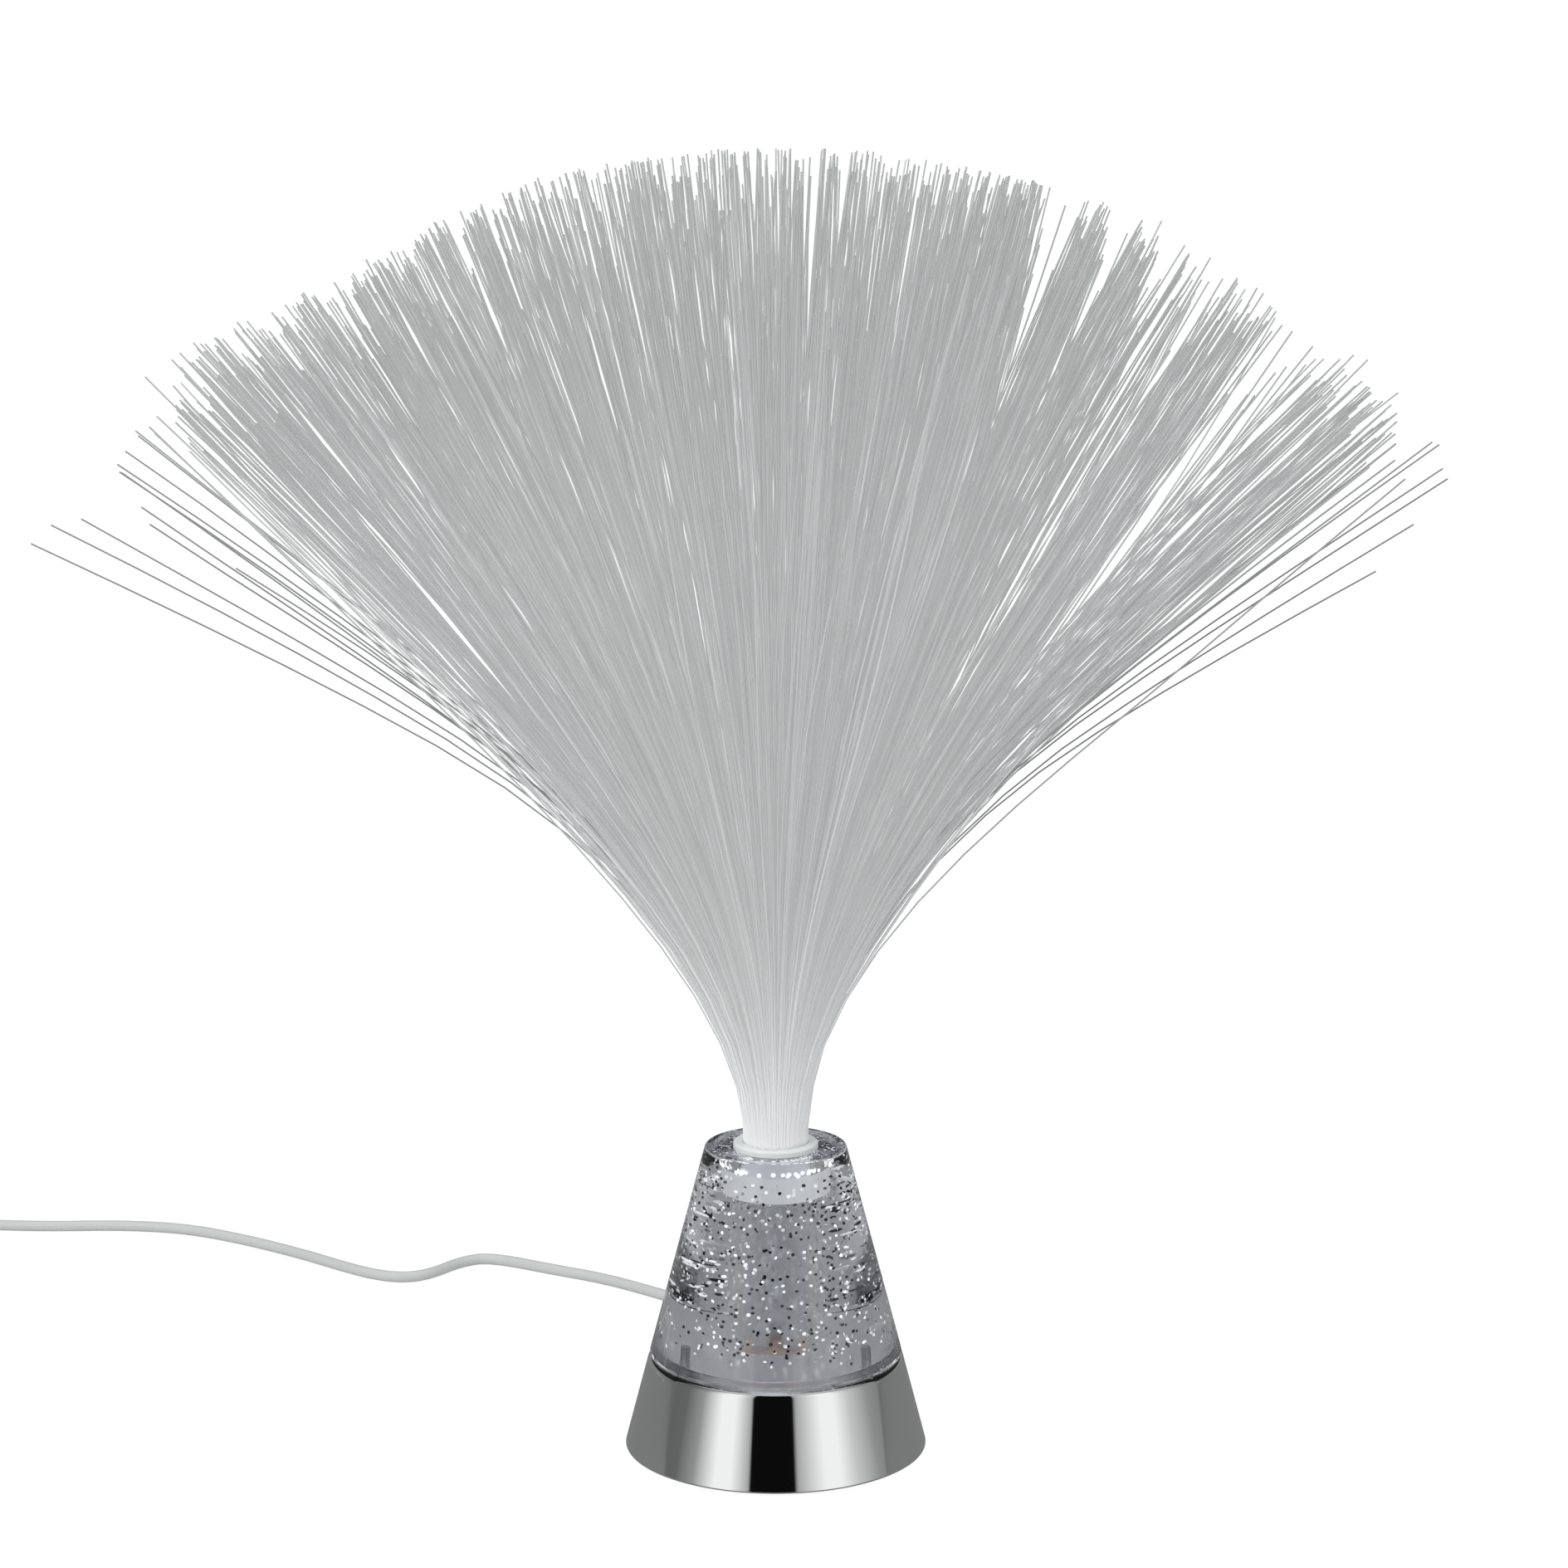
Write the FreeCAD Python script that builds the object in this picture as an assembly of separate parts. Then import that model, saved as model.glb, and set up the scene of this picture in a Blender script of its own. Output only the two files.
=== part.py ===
import FreeCAD, Part
import math
import os

from FreeCAD import Placement, Rotation, Vector

# Fibre optic table lamp. Millimetres. The origin is on the lamp's axis, on the
# surface it stands on. +Z is up, the front is -Y and the cord leaves at +Y.

# Base and cone share one continuous slope
base_bottom_radius = 44.0
base_lift = 1.0
deck_level = 28.3
cone_height = 62.3
cone_top_radius = 20.37
shell_wall = 2.0
deck_wall = 2.4
base_edge_chamfer = 0.6

# Bottom plate and foot
plate_thickness = 2.3
plate_level = 1.6
plate_clearance = 0.2
foot_width = 3.6

# Sides of round pieces that are drawn as flats
small_sides = 12
gland_sides = 16
inner_sides = 36
ring_sides = 48

# Screws: small pan heads, threads left out
screw_radius = 1.45
screw_clearance = 0.05
screw_head_radius = 2.8
screw_head_height = 1.2
head_clearance = 0.4
plate_post_inset = 4.8
plate_screw_length = 9.0
plate_post_radius = 3.2
cone_screw_inset = 10.8
cone_screw_length = 8.0
clamp_screw_length = 5.0

# Cone: rim, recess, ferrule bore, light passage and lamp cavity
rim_chamfer = 0.7
rim_width = 2.3
recess_depth = 0.8
cavity_radius = 10.0
cavity_height = 14.0
passage_radius = 6.0

# Ferrule and the fibre bundle in it
bundle_radius = 9.45
bundle_clearance = 0.05
ferrule_wall = 0.95
ferrule_depth = 14.0
ferrule_clearance = 0.15
ferrule_end_gap = 1.3
flange_overhang = 1.82
flange_thickness = 1.9
flange_chamfer = 0.5
bundle_proud = 0.7

# Fibre spray: real strand size, about one strand in eleven is modelled here
strand_width = 0.5
strand_length = 280.0
strand_count = 108
strand_segments = 5
segment_growth = 1.5
bend_length = 55.0
main_lean = 47.0
edge_lean = 14.0
edge_sharpness = 24
depth_lean = 0.78
lean_bias = 2.5
bias_direction = 180.0

# Lamp board
board_clearance = 0.4
board_thickness = 1.6
board_hole_radius = 7.0
board_notch = 3.0
led_radius = 2.5
led_rim = 0.4
led_rim_height = 1.0
led_height = 7.6
led_circle = 4.6
led_count = 3
resistor_size = (5.6, 2.2, 2.2)
resistor_offset = 3.2
chip_size = (5.0, 3.6, 1.6)

# Rocker switch in the rear wall, in its own frame: u across, v up the slope, w out
switch_azimuth = 60.0
switch_level = 14.5
bezel_margin = 1.0
bezel_thickness = 1.8
bezel_round = 1.2
pad_depth = 0.4
switch_side_wall = 1.6
switch_end_wall = 1.1
switch_body_depth = 9.0
switch_fit = 0.15
rocker_width = 6.2
rocker_radius = 5.5
rocker_side_gap = 0.2
rocker_drop = 2.4
rocker_rise = 2.2
rocker_angle = 12.0
rocker_pivot_depth = 0.6
rocker_pocket_depth = 6.5
pin_radius = 0.9
pin_length = 1.0
pin_clearance = 0.05
terminal_width = 2.8
terminal_thickness = 0.5
terminal_length = 5.0
terminal_spacing = 6.0

# Cord
cord_diameter = 3.6
cord_sides = 4
cord_exit_level = 8.8
cord_first_run = 10.0
cord_inner_run = 6.0
wire_radius = 0.6
wire_straight = 3.0
gland_bore_clearance = 0.05
gland_neck_wall = 1.15
gland_neck_clearance = 0.1
gland_barb_step = 0.7
gland_barb_length = 1.6
gland_clearance = 0.3
gland_flange_step = 1.4
gland_flange_thickness = 1.5
gland_tail_length = 10.0
gland_tail_step = 0.3
gland_tail_wall = 0.75
boss_wall = 2.9
boss_depth = 3.4
spot_depth = 1.34
spot_clearance = 0.3

# Cord clamp on the bottom plate
clamp_width = 15.0
clamp_length = 6.0
clamp_distance = 8.5
clamp_thickness = 3.0
clamp_gap = 0.4
clamp_screw_offset = 5.2

# Put-away coil, its tie and the plug
coil_centre = (-313.0, 187.0)
coil_mid_radius = 20.4
coil_spacing = 0.55
coil_half_turns_in = 3
coil_climb_inset = 0.6
tie_thickness = 0.5
tie_width = 4.0
tie_clearance = 0.15
tie_azimuth = 215.0
plug_turn = 31.0
plug_grip_length = 24.0
plug_grip_width = 15.6
plug_grip_height = 8.0
plug_grip_round = 2.2
plug_neck_length = 8.0
plug_neck_wall = 1.4
plug_shell_width = 12.0
plug_shell_height = 4.5
plug_shell_wall = 0.3
plug_shell_round = 0.6
plug_shell_length = 12.0
plug_shell_root = 4.0
plug_tongue_thickness = 1.84
plug_tongue_short = 0.8
plug_window = 2.5
plug_window_setback = 5.4
plug_window_offset = 3.1
contact_count = 4
contact_pitch = 2.25
contact_width = 1.0
contact_thickness = 0.2

# Slope shared by base and cone
cone_top = deck_level + cone_height
taper = (base_bottom_radius - cone_top_radius) / (cone_top - base_lift)


def slope_radius(level):
    """Outer radius of base and cone at a height."""
    return base_bottom_radius - taper * (level - base_lift)


def inner_radius(level):
    """Corner radius of the base's inner wall at a height."""
    return slope_radius(level) - shell_wall


# Heights and radii that follow from the values above
UP = Vector(0, 0, 1)
plate_top = plate_level + plate_thickness
recess_floor = cone_top - recess_depth
ferrule_bottom = recess_floor - ferrule_depth
flange_top = recess_floor + flange_thickness
bundle_top = flange_top + bundle_proud
bore_floor = ferrule_bottom - ferrule_end_gap
bundle_bore_radius = bundle_radius + bundle_clearance
ferrule_radius = bundle_bore_radius + ferrule_wall
flange_radius = ferrule_radius + flange_overhang
cone_bore_radius = ferrule_radius + ferrule_clearance
screw_hole_radius = screw_radius + screw_clearance
deck_underside = deck_level - deck_wall
plate_screw_circle = inner_radius(deck_level) - plate_post_inset
cone_screw_circle = slope_radius(deck_level) - cone_screw_inset
foot_inner_radius = plate_screw_circle + screw_head_radius + head_clearance
board_radius = cavity_radius - board_clearance
board_top = deck_level + board_thickness
switch_body_width = rocker_width + 2 * switch_side_wall
switch_body_height = 2 * (rocker_radius + switch_end_wall)
bezel_width = switch_body_width + 2 * bezel_margin
bezel_height = switch_body_height + 2 * bezel_margin

# Cord, gland and clamp
cord_radius = cord_diameter / 2
gland_bore_radius = cord_radius + gland_bore_clearance
gland_neck_radius = gland_bore_radius + gland_neck_wall
gland_flange_radius = gland_neck_radius + gland_flange_step
boss_radius = gland_neck_radius + gland_neck_clearance + boss_wall
boss_inner_face = inner_radius(cord_exit_level) - boss_depth
spot_face = slope_radius(cord_exit_level) - spot_depth
gland_face = spot_face + gland_flange_thickness
cord_start = gland_face + gland_tail_length
clamp_place = boss_inner_face - clamp_distance
cord_inner_end = clamp_place - cord_inner_run

# Route of the free cord on the table, from the gland to the coil
coil_pitch = cord_diameter + coil_spacing
coil_lift = cord_radius + tie_thickness + tie_clearance
coil_outer_radius = coil_mid_radius + coil_pitch * (coil_half_turns_in - 1) / 4 + cord_radius / 4
coil_entry_y = coil_centre[1] + coil_outer_radius
plug_neck_radius = cord_radius + plug_neck_wall
cord_route = [
    (0, cord_start, cord_exit_level),
    (0, cord_start + cord_first_run, cord_exit_level),
    (-1.5, 77.5, 4.6),
    (-6, 93, cord_radius),
    (-15, 109, cord_radius),
    (-27, 124, cord_radius),
    (-41, 137, cord_radius),
    (-57, 150.5, cord_radius),
    (-74, 160, cord_radius),
    (-96, 173.4, cord_radius),
    (-105.5, 169, cord_radius),
    (-113.5, 157, cord_radius),
    (-120.5, 151.8, cord_radius),
    (-129, 152.6, cord_radius),
    (-140, 159.5, cord_radius),
    (-160, 177.5, cord_radius),
    (-182, 194, cord_radius),
    (-204, 206.5, cord_radius),
    (-228, 210, cord_radius),
    (-250, 208.5, cord_radius),
    (-273, 210.5, cord_radius),
    (-293, coil_entry_y, coil_lift),
    (coil_centre[0] + cord_diameter, coil_entry_y, coil_lift),
]


def polar(radius, degrees, level=0.0):
    """Point at a radius and azimuth."""
    turn = math.radians(degrees)
    return Vector(radius * math.cos(turn), radius * math.sin(turn), level)


def outline(corners):
    """Closed wire in the XZ plane through corners (x, z, round)."""
    count = len(corners)
    places = [Vector(corner[0], 0, corner[1]) for corner in corners]
    rounds = {}
    ends = []
    for index, corner in enumerate(corners):
        here = places[index]
        size = corner[2] if len(corner) > 2 else 0
        if not size:
            ends.append((here, here))
            continue
        back = (places[index - 1] - here).normalize()
        ahead = (places[(index + 1) % count] - here).normalize()
        half = back.getAngle(ahead) / 2
        setback = size / math.tan(half)
        middle = here + (back + ahead).normalize() * (size / math.sin(half) - size)
        start, finish = here + back * setback, here + ahead * setback
        rounds[index] = Part.Arc(start, middle, finish).toShape()
        ends.append((start, finish))
    chain = []
    for index in range(count):
        if index in rounds:
            chain.append(rounds[index])
        start, finish = ends[index][1], ends[(index + 1) % count][0]
        if (finish - start).Length > 1e-6:
            chain.append(Part.LineSegment(start, finish).toShape())
    return Part.Wire(chain)


def turned(corners):
    """Solid of revolution about Z from an outline of (radius, z, round)."""
    return Part.Face(outline(corners)).revolve(Vector(), UP, 360)


def plate(width, height, depth, rounding=0.0):
    """Rounded rectangle centred on the Z axis, from z = 0 to depth."""
    half_width, half_height = width / 2, height / 2
    corners = [(-half_width, -half_height, rounding), (half_width, -half_height, rounding),
               (half_width, half_height, rounding), (-half_width, half_height, rounding)]
    flat = outline(corners)
    flat.rotate(Vector(), Vector(1, 0, 0), -90)
    return Part.Face(flat).extrude(Vector(0, 0, depth))


def rod(radius, length, base, direction=UP):
    """Cylinder."""
    return Part.makeCylinder(radius, length, base, direction)


def section(centre, direction, radius, sides):
    """Regular polygon across a direction, with a flat side below."""
    level = direction.cross(UP) if abs(direction.z) < 0.9 else Vector(1, 0, 0)
    level = level.normalize()
    rise = level.cross(direction)
    spots = []
    for index in range(sides):
        turn = 2 * math.pi * (index + 0.5) / sides
        spots.append(centre + (rise * math.cos(turn) + level * math.sin(turn)) * radius)
    return Part.makePolygon(spots + spots[:1])


def small_rod(radius, length, base, direction=UP):
    """Twelve-sided prism for a small round piece or hole."""
    return Part.Face(section(base, direction, radius, small_sides)).extrude(direction * length)


def faceted(profile, sides):
    """Solid turned about Z in flats from a closed outline of (radius, z)."""
    step = 360 / sides
    rings = [[polar(radius, (index + 0.5) * step, level) for index in range(sides)]
             for radius, level in profile]
    flats = []
    for ring, other in zip(rings, rings[1:] + rings[:1]):
        for index in range(sides):
            ahead = (index + 1) % sides
            flat = [ring[index], ring[ahead], other[ahead], other[index], ring[index]]
            flats.append(Part.Face(Part.makePolygon(flat)))
    solid = Part.Solid(Part.Shell(flats)).removeSplitter()
    return solid if solid.Volume > 0 else solid.reversed()


def faceted_plug(lower_radius, lower_level, upper_radius, upper_level, sides):
    """Solid frustum in flats."""
    step = 360 / sides
    lower = [polar(lower_radius, (index + 0.5) * step, lower_level) for index in range(sides)]
    upper = [polar(upper_radius, (index + 0.5) * step, upper_level) for index in range(sides)]
    flats = [Part.Face(Part.makePolygon(ring + ring[:1])) for ring in (lower, upper)]
    for index in range(sides):
        ahead = (index + 1) % sides
        flat = [lower[index], lower[ahead], upper[ahead], upper[index], lower[index]]
        flats.append(Part.Face(Part.makePolygon(flat)))
    solid = Part.Solid(Part.Shell(flats))
    return solid if solid.Volume > 0 else solid.reversed()


def block(width, depth, height, centre):
    """Box centred on a point in X and Y, standing on its Z."""
    corner = Vector(centre[0] - width / 2, centre[1] - depth / 2, centre[2])
    return Part.makeBox(width, depth, height, corner)


def fuse(first, *others):
    """One solid from pieces that overlap."""
    return first.multiFuse(list(others)).removeSplitter()


def screw(head_face, length, direction):
    """Pan-head screw: its head's bearing face is at head_face, its shank along direction."""
    shank = small_rod(screw_radius, length, head_face, direction)
    head = small_rod(screw_head_radius, screw_head_height, head_face, direction * -1)
    return fuse(shank, head)


def write(node, *solids):
    """Export one node as one STEP file."""
    shape = solids[0] if len(solids) == 1 else Part.makeCompound(list(solids))
    shape.exportStep("parts/" + node + ".step")
    print(node, "solids", len(shape.Solids), "valid", shape.isValid())


def plate_screw_places():
    """Azimuths of the three posts that hold the bottom plate."""
    return [30, 150, 270]


def cone_screw_places():
    """Azimuths of the three screws that hold the cone."""
    return [90, 210, 330]


def switch_frame_placement():
    """Frame of the rocker switch: x across, y up the slope, z out of the wall."""
    tilt = math.atan(taper)
    out = polar(1, switch_azimuth)
    normal = out * math.cos(tilt) + UP * math.sin(tilt)
    across = polar(1, switch_azimuth + 90)
    up_slope = normal.cross(across)
    surface = polar(slope_radius(switch_level), switch_azimuth, switch_level)
    return Placement(surface - normal * pad_depth, Rotation(across, up_slope, normal, "ZXY"))


def in_switch_frame(shape):
    """Move a piece from the switch's own frame to the lamp's."""
    shape.Placement = switch_frame_placement().multiply(shape.Placement)
    return shape


def base_shell():
    """Plated hollow cone with a deck, posts, a cord boss and the switch opening."""
    edge = base_edge_chamfer
    block_out = turned([
        (slope_radius(base_lift) - edge, base_lift),
        (slope_radius(base_lift + edge), base_lift + edge),
        (slope_radius(deck_level - edge), deck_level - edge),
        (slope_radius(deck_level) - edge, deck_level),
        (0, deck_level),
        (0, base_lift),
    ])
    inside = faceted_plug(inner_radius(base_lift), base_lift, inner_radius(deck_underside), deck_underside,
                          inner_sides)
    shell = block_out.cut([inside, small_rod(board_hole_radius, deck_level, Vector())])
    envelope = Part.makeCone(slope_radius(plate_top), slope_radius(deck_level), deck_level - plate_top,
                             Vector(0, 0, plate_top))
    boss_base = Vector(0, boss_inner_face, cord_exit_level)
    boss = rod(boss_radius, base_bottom_radius, boss_base, Vector(0, 1, 0)).common(envelope)
    posts = []
    cuts = []
    for azimuth in plate_screw_places():
        foot = polar(plate_screw_circle, azimuth, plate_top)
        posts.append(small_rod(plate_post_radius, deck_level - deck_wall / 2 - plate_top, foot))
        cuts.append(small_rod(screw_hole_radius, plate_screw_length, foot))
    for azimuth in cone_screw_places():
        place = polar(cone_screw_circle, azimuth, deck_underside)
        cuts.append(small_rod(screw_hole_radius, deck_wall, place))
    shell = fuse(shell, boss, *posts)
    rearward = Vector(0, 1, 0)
    through = Vector(0, boss_inner_face, cord_exit_level)
    cuts.append(rod(gland_neck_radius + gland_neck_clearance, base_bottom_radius, through, rearward))
    face = Vector(0, spot_face, cord_exit_level)
    cuts.append(rod(gland_flange_radius + spot_clearance, base_bottom_radius, face, rearward))
    pad = plate(bezel_width + 2 * switch_fit, bezel_height + 2 * switch_fit, bezel_thickness, bezel_round)
    opening = plate(switch_body_width + 2 * switch_fit, switch_body_height + 2 * switch_fit, 4 * shell_wall)
    opening.translate(Vector(0, 0, -3 * shell_wall))
    cuts.append(in_switch_frame(pad))
    cuts.append(in_switch_frame(opening))
    return shell.cut(cuts)


def glitter_cone():
    """Clear cone: rim recess and ferrule bore on top, lamp cavity below, blind screw holes."""
    top = slope_radius(cone_top)
    cavity_top = deck_level + cavity_height
    body = turned([
        (cavity_radius, cavity_top),
        (cavity_radius, deck_level),
        (slope_radius(deck_level), deck_level),
        (slope_radius(cone_top - rim_chamfer), cone_top - rim_chamfer),
        (top - rim_chamfer, cone_top),
        (top - rim_width, cone_top),
        (top - rim_width, recess_floor),
        (cone_bore_radius, recess_floor),
        (cone_bore_radius, bore_floor),
        (passage_radius, bore_floor),
        (passage_radius, cavity_top),
    ])
    holes = [small_rod(screw_hole_radius, cone_screw_length, polar(cone_screw_circle, azimuth, deck_level))
             for azimuth in cone_screw_places()]
    return body.cut(holes)


def ferrule():
    """White collar: flange on the recess floor, sleeve down in the bore, open for the bundle."""
    return faceted([
        (bundle_bore_radius, ferrule_bottom),
        (ferrule_radius, ferrule_bottom),
        (ferrule_radius, recess_floor),
        (flange_radius, recess_floor),
        (flange_radius, flange_top - flange_chamfer),
        (flange_radius - flange_chamfer, flange_top),
        (bundle_bore_radius, flange_top),
    ], ring_sides)


def strand_lean(share, azimuth, arc):
    """Lean from vertical in degrees: share is 0 on the axis and 1 at the rim, arc is the length along."""
    turn = math.radians(azimuth)
    bias = lean_bias * math.cos(turn - math.radians(bias_direction))
    tip = main_lean * share + (edge_lean + bias) * share ** edge_sharpness
    flatness = math.hypot(math.cos(turn), depth_lean * math.sin(turn))
    return tip * flatness * (1 - math.exp(-arc / bend_length))


def strand(index):
    """One fibre: a three-sided strand that leans outwards in its own upright plane."""
    share = math.sqrt((index + 0.5) / strand_count)
    azimuth = index * 180 * (3 - math.sqrt(5))
    run = strand_length * (segment_growth - 1) / (segment_growth ** strand_segments - 1)
    radius = share * (bundle_radius - strand_width)
    level = bundle_top
    arc = 0.0
    spots = [polar(radius, azimuth, level)]
    for step in range(strand_segments):
        lean = math.radians(strand_lean(share, azimuth, arc + run / 2)) if step else 0.0
        radius += run * math.sin(lean)
        level += run * math.cos(lean)
        arc += run
        run *= segment_growth
        spots.append(polar(radius, azimuth, level))
    foot = section(spots[0], UP, strand_width / math.sqrt(3), 3)
    return Part.makePolygon(spots).makePipeShell([foot], True, False, 1)


def led_board():
    """Round board on the deck, inside the cone's cavity, with a key notch."""
    disc = faceted_plug(board_radius, deck_level, board_radius, board_top, inner_sides)
    return disc.cut(block(board_notch, board_notch, board_thickness, (0, -board_radius, deck_level)))


def led(azimuth):
    """Clear lamp: rim, straight sides and a tapered crown."""
    shoulder = led_height - led_radius
    rim = faceted_plug(led_radius + led_rim, 0, led_radius + led_rim, led_rim_height, small_sides)
    straight = faceted_plug(led_radius, 0, led_radius, shoulder, small_sides)
    crown = faceted_plug(led_radius, shoulder, led_radius / 2, led_height, small_sides)
    lamp = fuse(rim, straight, crown)
    lamp.translate(polar(led_circle, azimuth, board_top))
    return lamp


def board_parts():
    """Two resistors and a driver chip under the board."""
    solids = []
    for side in (-1, 1):
        solids.append(block(*resistor_size, (0, side * resistor_offset, deck_level - resistor_size[2])))
    solids.append(block(*chip_size, (0, 0, deck_level - chip_size[2])))
    return solids


def base_plate():
    """Bottom plate: counterbored screw holes and the cord clamp's lower half."""
    disc = faceted_plug(inner_radius(plate_level) - plate_clearance, plate_level,
                        inner_radius(plate_top) - plate_clearance, plate_top, inner_sides)
    anvil_top = cord_exit_level - clamp_gap / 2
    anvil = block(clamp_width, clamp_length, anvil_top - plate_level, (0, clamp_place, plate_level))
    cuts = []
    for azimuth in plate_screw_places():
        place = polar(plate_screw_circle, azimuth, plate_level)
        cuts.append(small_rod(screw_radius + head_clearance, plate_thickness, place))
        cuts.append(small_rod(screw_head_radius + head_clearance, screw_head_height, place))
    groove = Vector(0, clamp_place - clamp_length, cord_exit_level)
    cuts.append(small_rod(gland_bore_radius, 2 * clamp_length, groove, Vector(0, 1, 0)))
    for side in (-1, 1):
        drilled = Vector(side * clamp_screw_offset, clamp_place, plate_top)
        cuts.append(small_rod(screw_hole_radius, anvil_top, drilled))
    return fuse(disc, anvil).cut(cuts)


def foot_ring():
    """Rubber ring the lamp stands on."""
    outer = foot_inner_radius + foot_width
    return faceted([
        (foot_inner_radius, 0),
        (outer, 0),
        (outer, plate_level),
        (foot_inner_radius, plate_level),
    ], ring_sides)


def cord_clamp():
    """Saddle over the cord, held by two screws."""
    bottom = cord_exit_level + clamp_gap / 2
    bar = block(clamp_width, clamp_length, clamp_thickness, (0, clamp_place, bottom))
    groove = Vector(0, clamp_place - clamp_length, cord_exit_level)
    cuts = [small_rod(gland_bore_radius, 2 * clamp_length, groove, Vector(0, 1, 0))]
    for side in (-1, 1):
        hole = Vector(side * clamp_screw_offset, clamp_place, bottom)
        cuts.append(small_rod(screw_radius + head_clearance / 2, clamp_thickness, hole))
    return bar.cut(cuts)


def switch_bezel():
    """Frame of the rocker switch: flange outside, open box inside the wall."""
    flange = plate(bezel_width, bezel_height, bezel_thickness, bezel_round)
    body = plate(switch_body_width, switch_body_height, switch_body_depth)
    body.translate(Vector(0, 0, -switch_body_depth))
    case = fuse(flange, body)
    pocket = plate(rocker_width + 2 * rocker_side_gap, 2 * (rocker_radius + rocker_side_gap),
                   rocker_pocket_depth + bezel_thickness)
    pocket.translate(Vector(0, 0, -rocker_pocket_depth))
    span = rocker_width + 2 * pin_length + 4 * pin_clearance
    bore = rod(pin_radius + pin_clearance, span, Vector(-span / 2, 0, -rocker_pivot_depth), Vector(1, 0, 0))
    return in_switch_frame(case.cut([pocket, bore]))


def switch_rocker():
    """Rocker with round ends about its pins, resting tipped to one side."""
    reach = rocker_radius + 1
    crest = rocker_rise + reach * math.tan(math.radians(rocker_angle))
    side = Part.makePolygon([
        Vector(0, -reach, -rocker_drop), Vector(0, reach, -rocker_drop), Vector(0, reach, crest),
        Vector(0, 0, rocker_rise), Vector(0, -reach, crest), Vector(0, -reach, -rocker_drop)])
    wedge = Part.Face(side).extrude(Vector(rocker_width, 0, 0))
    wedge.translate(Vector(-rocker_width / 2, 0, 0))
    drum = rod(rocker_radius, rocker_width, Vector(-rocker_width / 2, 0, 0), Vector(1, 0, 0))
    span = rocker_width + 2 * pin_length
    pins = rod(pin_radius, span, Vector(-span / 2, 0, 0), Vector(1, 0, 0))
    cap = fuse(wedge.common(drum), pins)
    cap.rotate(Vector(), Vector(1, 0, 0), -rocker_angle)
    cap.translate(Vector(0, 0, -rocker_pivot_depth))
    return in_switch_frame(cap)


def switch_terminals():
    """Two blades behind the switch."""
    blades = []
    for side in (-1, 1):
        blade = block(terminal_width, terminal_thickness, terminal_length,
                      (0, side * terminal_spacing / 2, -switch_body_depth - terminal_length))
        blades.append(in_switch_frame(blade))
    return blades


def strain_relief():
    """Rubber gland: barb inside the boss, flange on the spot face, tapered tail."""
    barb = boss_inner_face - gland_clearance
    barb_radius = gland_neck_radius + gland_barb_step
    gland = faceted([
        (gland_bore_radius, barb - gland_barb_length),
        (barb_radius, barb - gland_barb_length),
        (barb_radius, barb),
        (gland_neck_radius, barb),
        (gland_neck_radius, spot_face),
        (gland_flange_radius, spot_face),
        (gland_flange_radius, gland_face),
        (gland_neck_radius + gland_tail_step, gland_face),
        (gland_bore_radius + gland_tail_wall, cord_start),
        (gland_bore_radius, cord_start),
    ], gland_sides)
    gland.rotate(Vector(), Vector(1, 0, 0), -90)
    gland.translate(Vector(0, 0, cord_exit_level))
    return gland


def corner_radius(before, corner, after):
    """Arc radius at a point of a route: 0.45 of the shorter run over the tangent of half the turn."""
    back, ahead = before - corner, after - corner
    half_turn = (math.pi - back.getAngle(ahead)) / 2
    return 0.45 * min(back.Length, ahead.Length) / math.tan(half_turn)


def tube_path(points):
    """Straight runs joined by tangent arcs, and the arcs' radii."""
    edges = []
    radii = []
    last = points[0]
    for before, corner, after in zip(points, points[1:], points[2:]):
        radius = corner_radius(before, corner, after)
        back = (before - corner).normalize()
        ahead = (after - corner).normalize()
        half = back.getAngle(ahead) / 2
        setback = radius / math.tan(half)
        start, finish = corner + back * setback, corner + ahead * setback
        middle = corner + (back + ahead).normalize() * (radius / math.sin(half) - radius)
        edges.append(Part.LineSegment(last, start).toShape())
        edges.append(Part.Arc(start, middle, finish).toShape())
        radii.append(radius)
        last = finish
    edges.append(Part.LineSegment(last, points[-1]).toShape())
    return Part.Wire(edges), radii


def tube(points, radius, sides, name):
    """Faceted tube along a route, with its radii and volume printed."""
    path, radii = tube_path(points)
    start = (points[1] - points[0]).normalize()
    pipe = path.makePipeShell([section(points[0], start, radius, sides)], True, False)
    area = sides / 2 * radius ** 2 * math.sin(2 * math.pi / sides)
    print(name, "length", round(path.Length, 1), "radii", [round(size, 1) for size in radii])
    print(name, "volume", round(pipe.Volume, 1), "section times length", round(area * path.Length, 1))
    return pipe


def biarc(start, start_way, end, end_way):
    """Two arcs that leave start and reach end along the given unit directions."""
    chord = end - start
    ways = start_way + end_way
    reach = chord.dot(ways)
    spread = 2 * (1 - start_way.dot(end_way))
    handle = (math.sqrt(reach ** 2 + spread * chord.dot(chord)) - reach) / spread
    joint = (start + end + (start_way - end_way) * handle) * 0.5
    arcs = []
    for first, way, other, backwards in ((start, start_way, joint, False), (end, end_way * -1, joint, True)):
        line = other - first
        lean = way.getAngle(line)
        side = (way - line * (way.dot(line) / line.dot(line))).normalize()
        middle = (first + other) * 0.5 + side * (line.Length / 2 * math.tan(lean / 2))
        ends = (other, middle, first) if backwards else (first, middle, other)
        arcs.append(Part.Arc(*ends))
    return arcs


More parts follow.
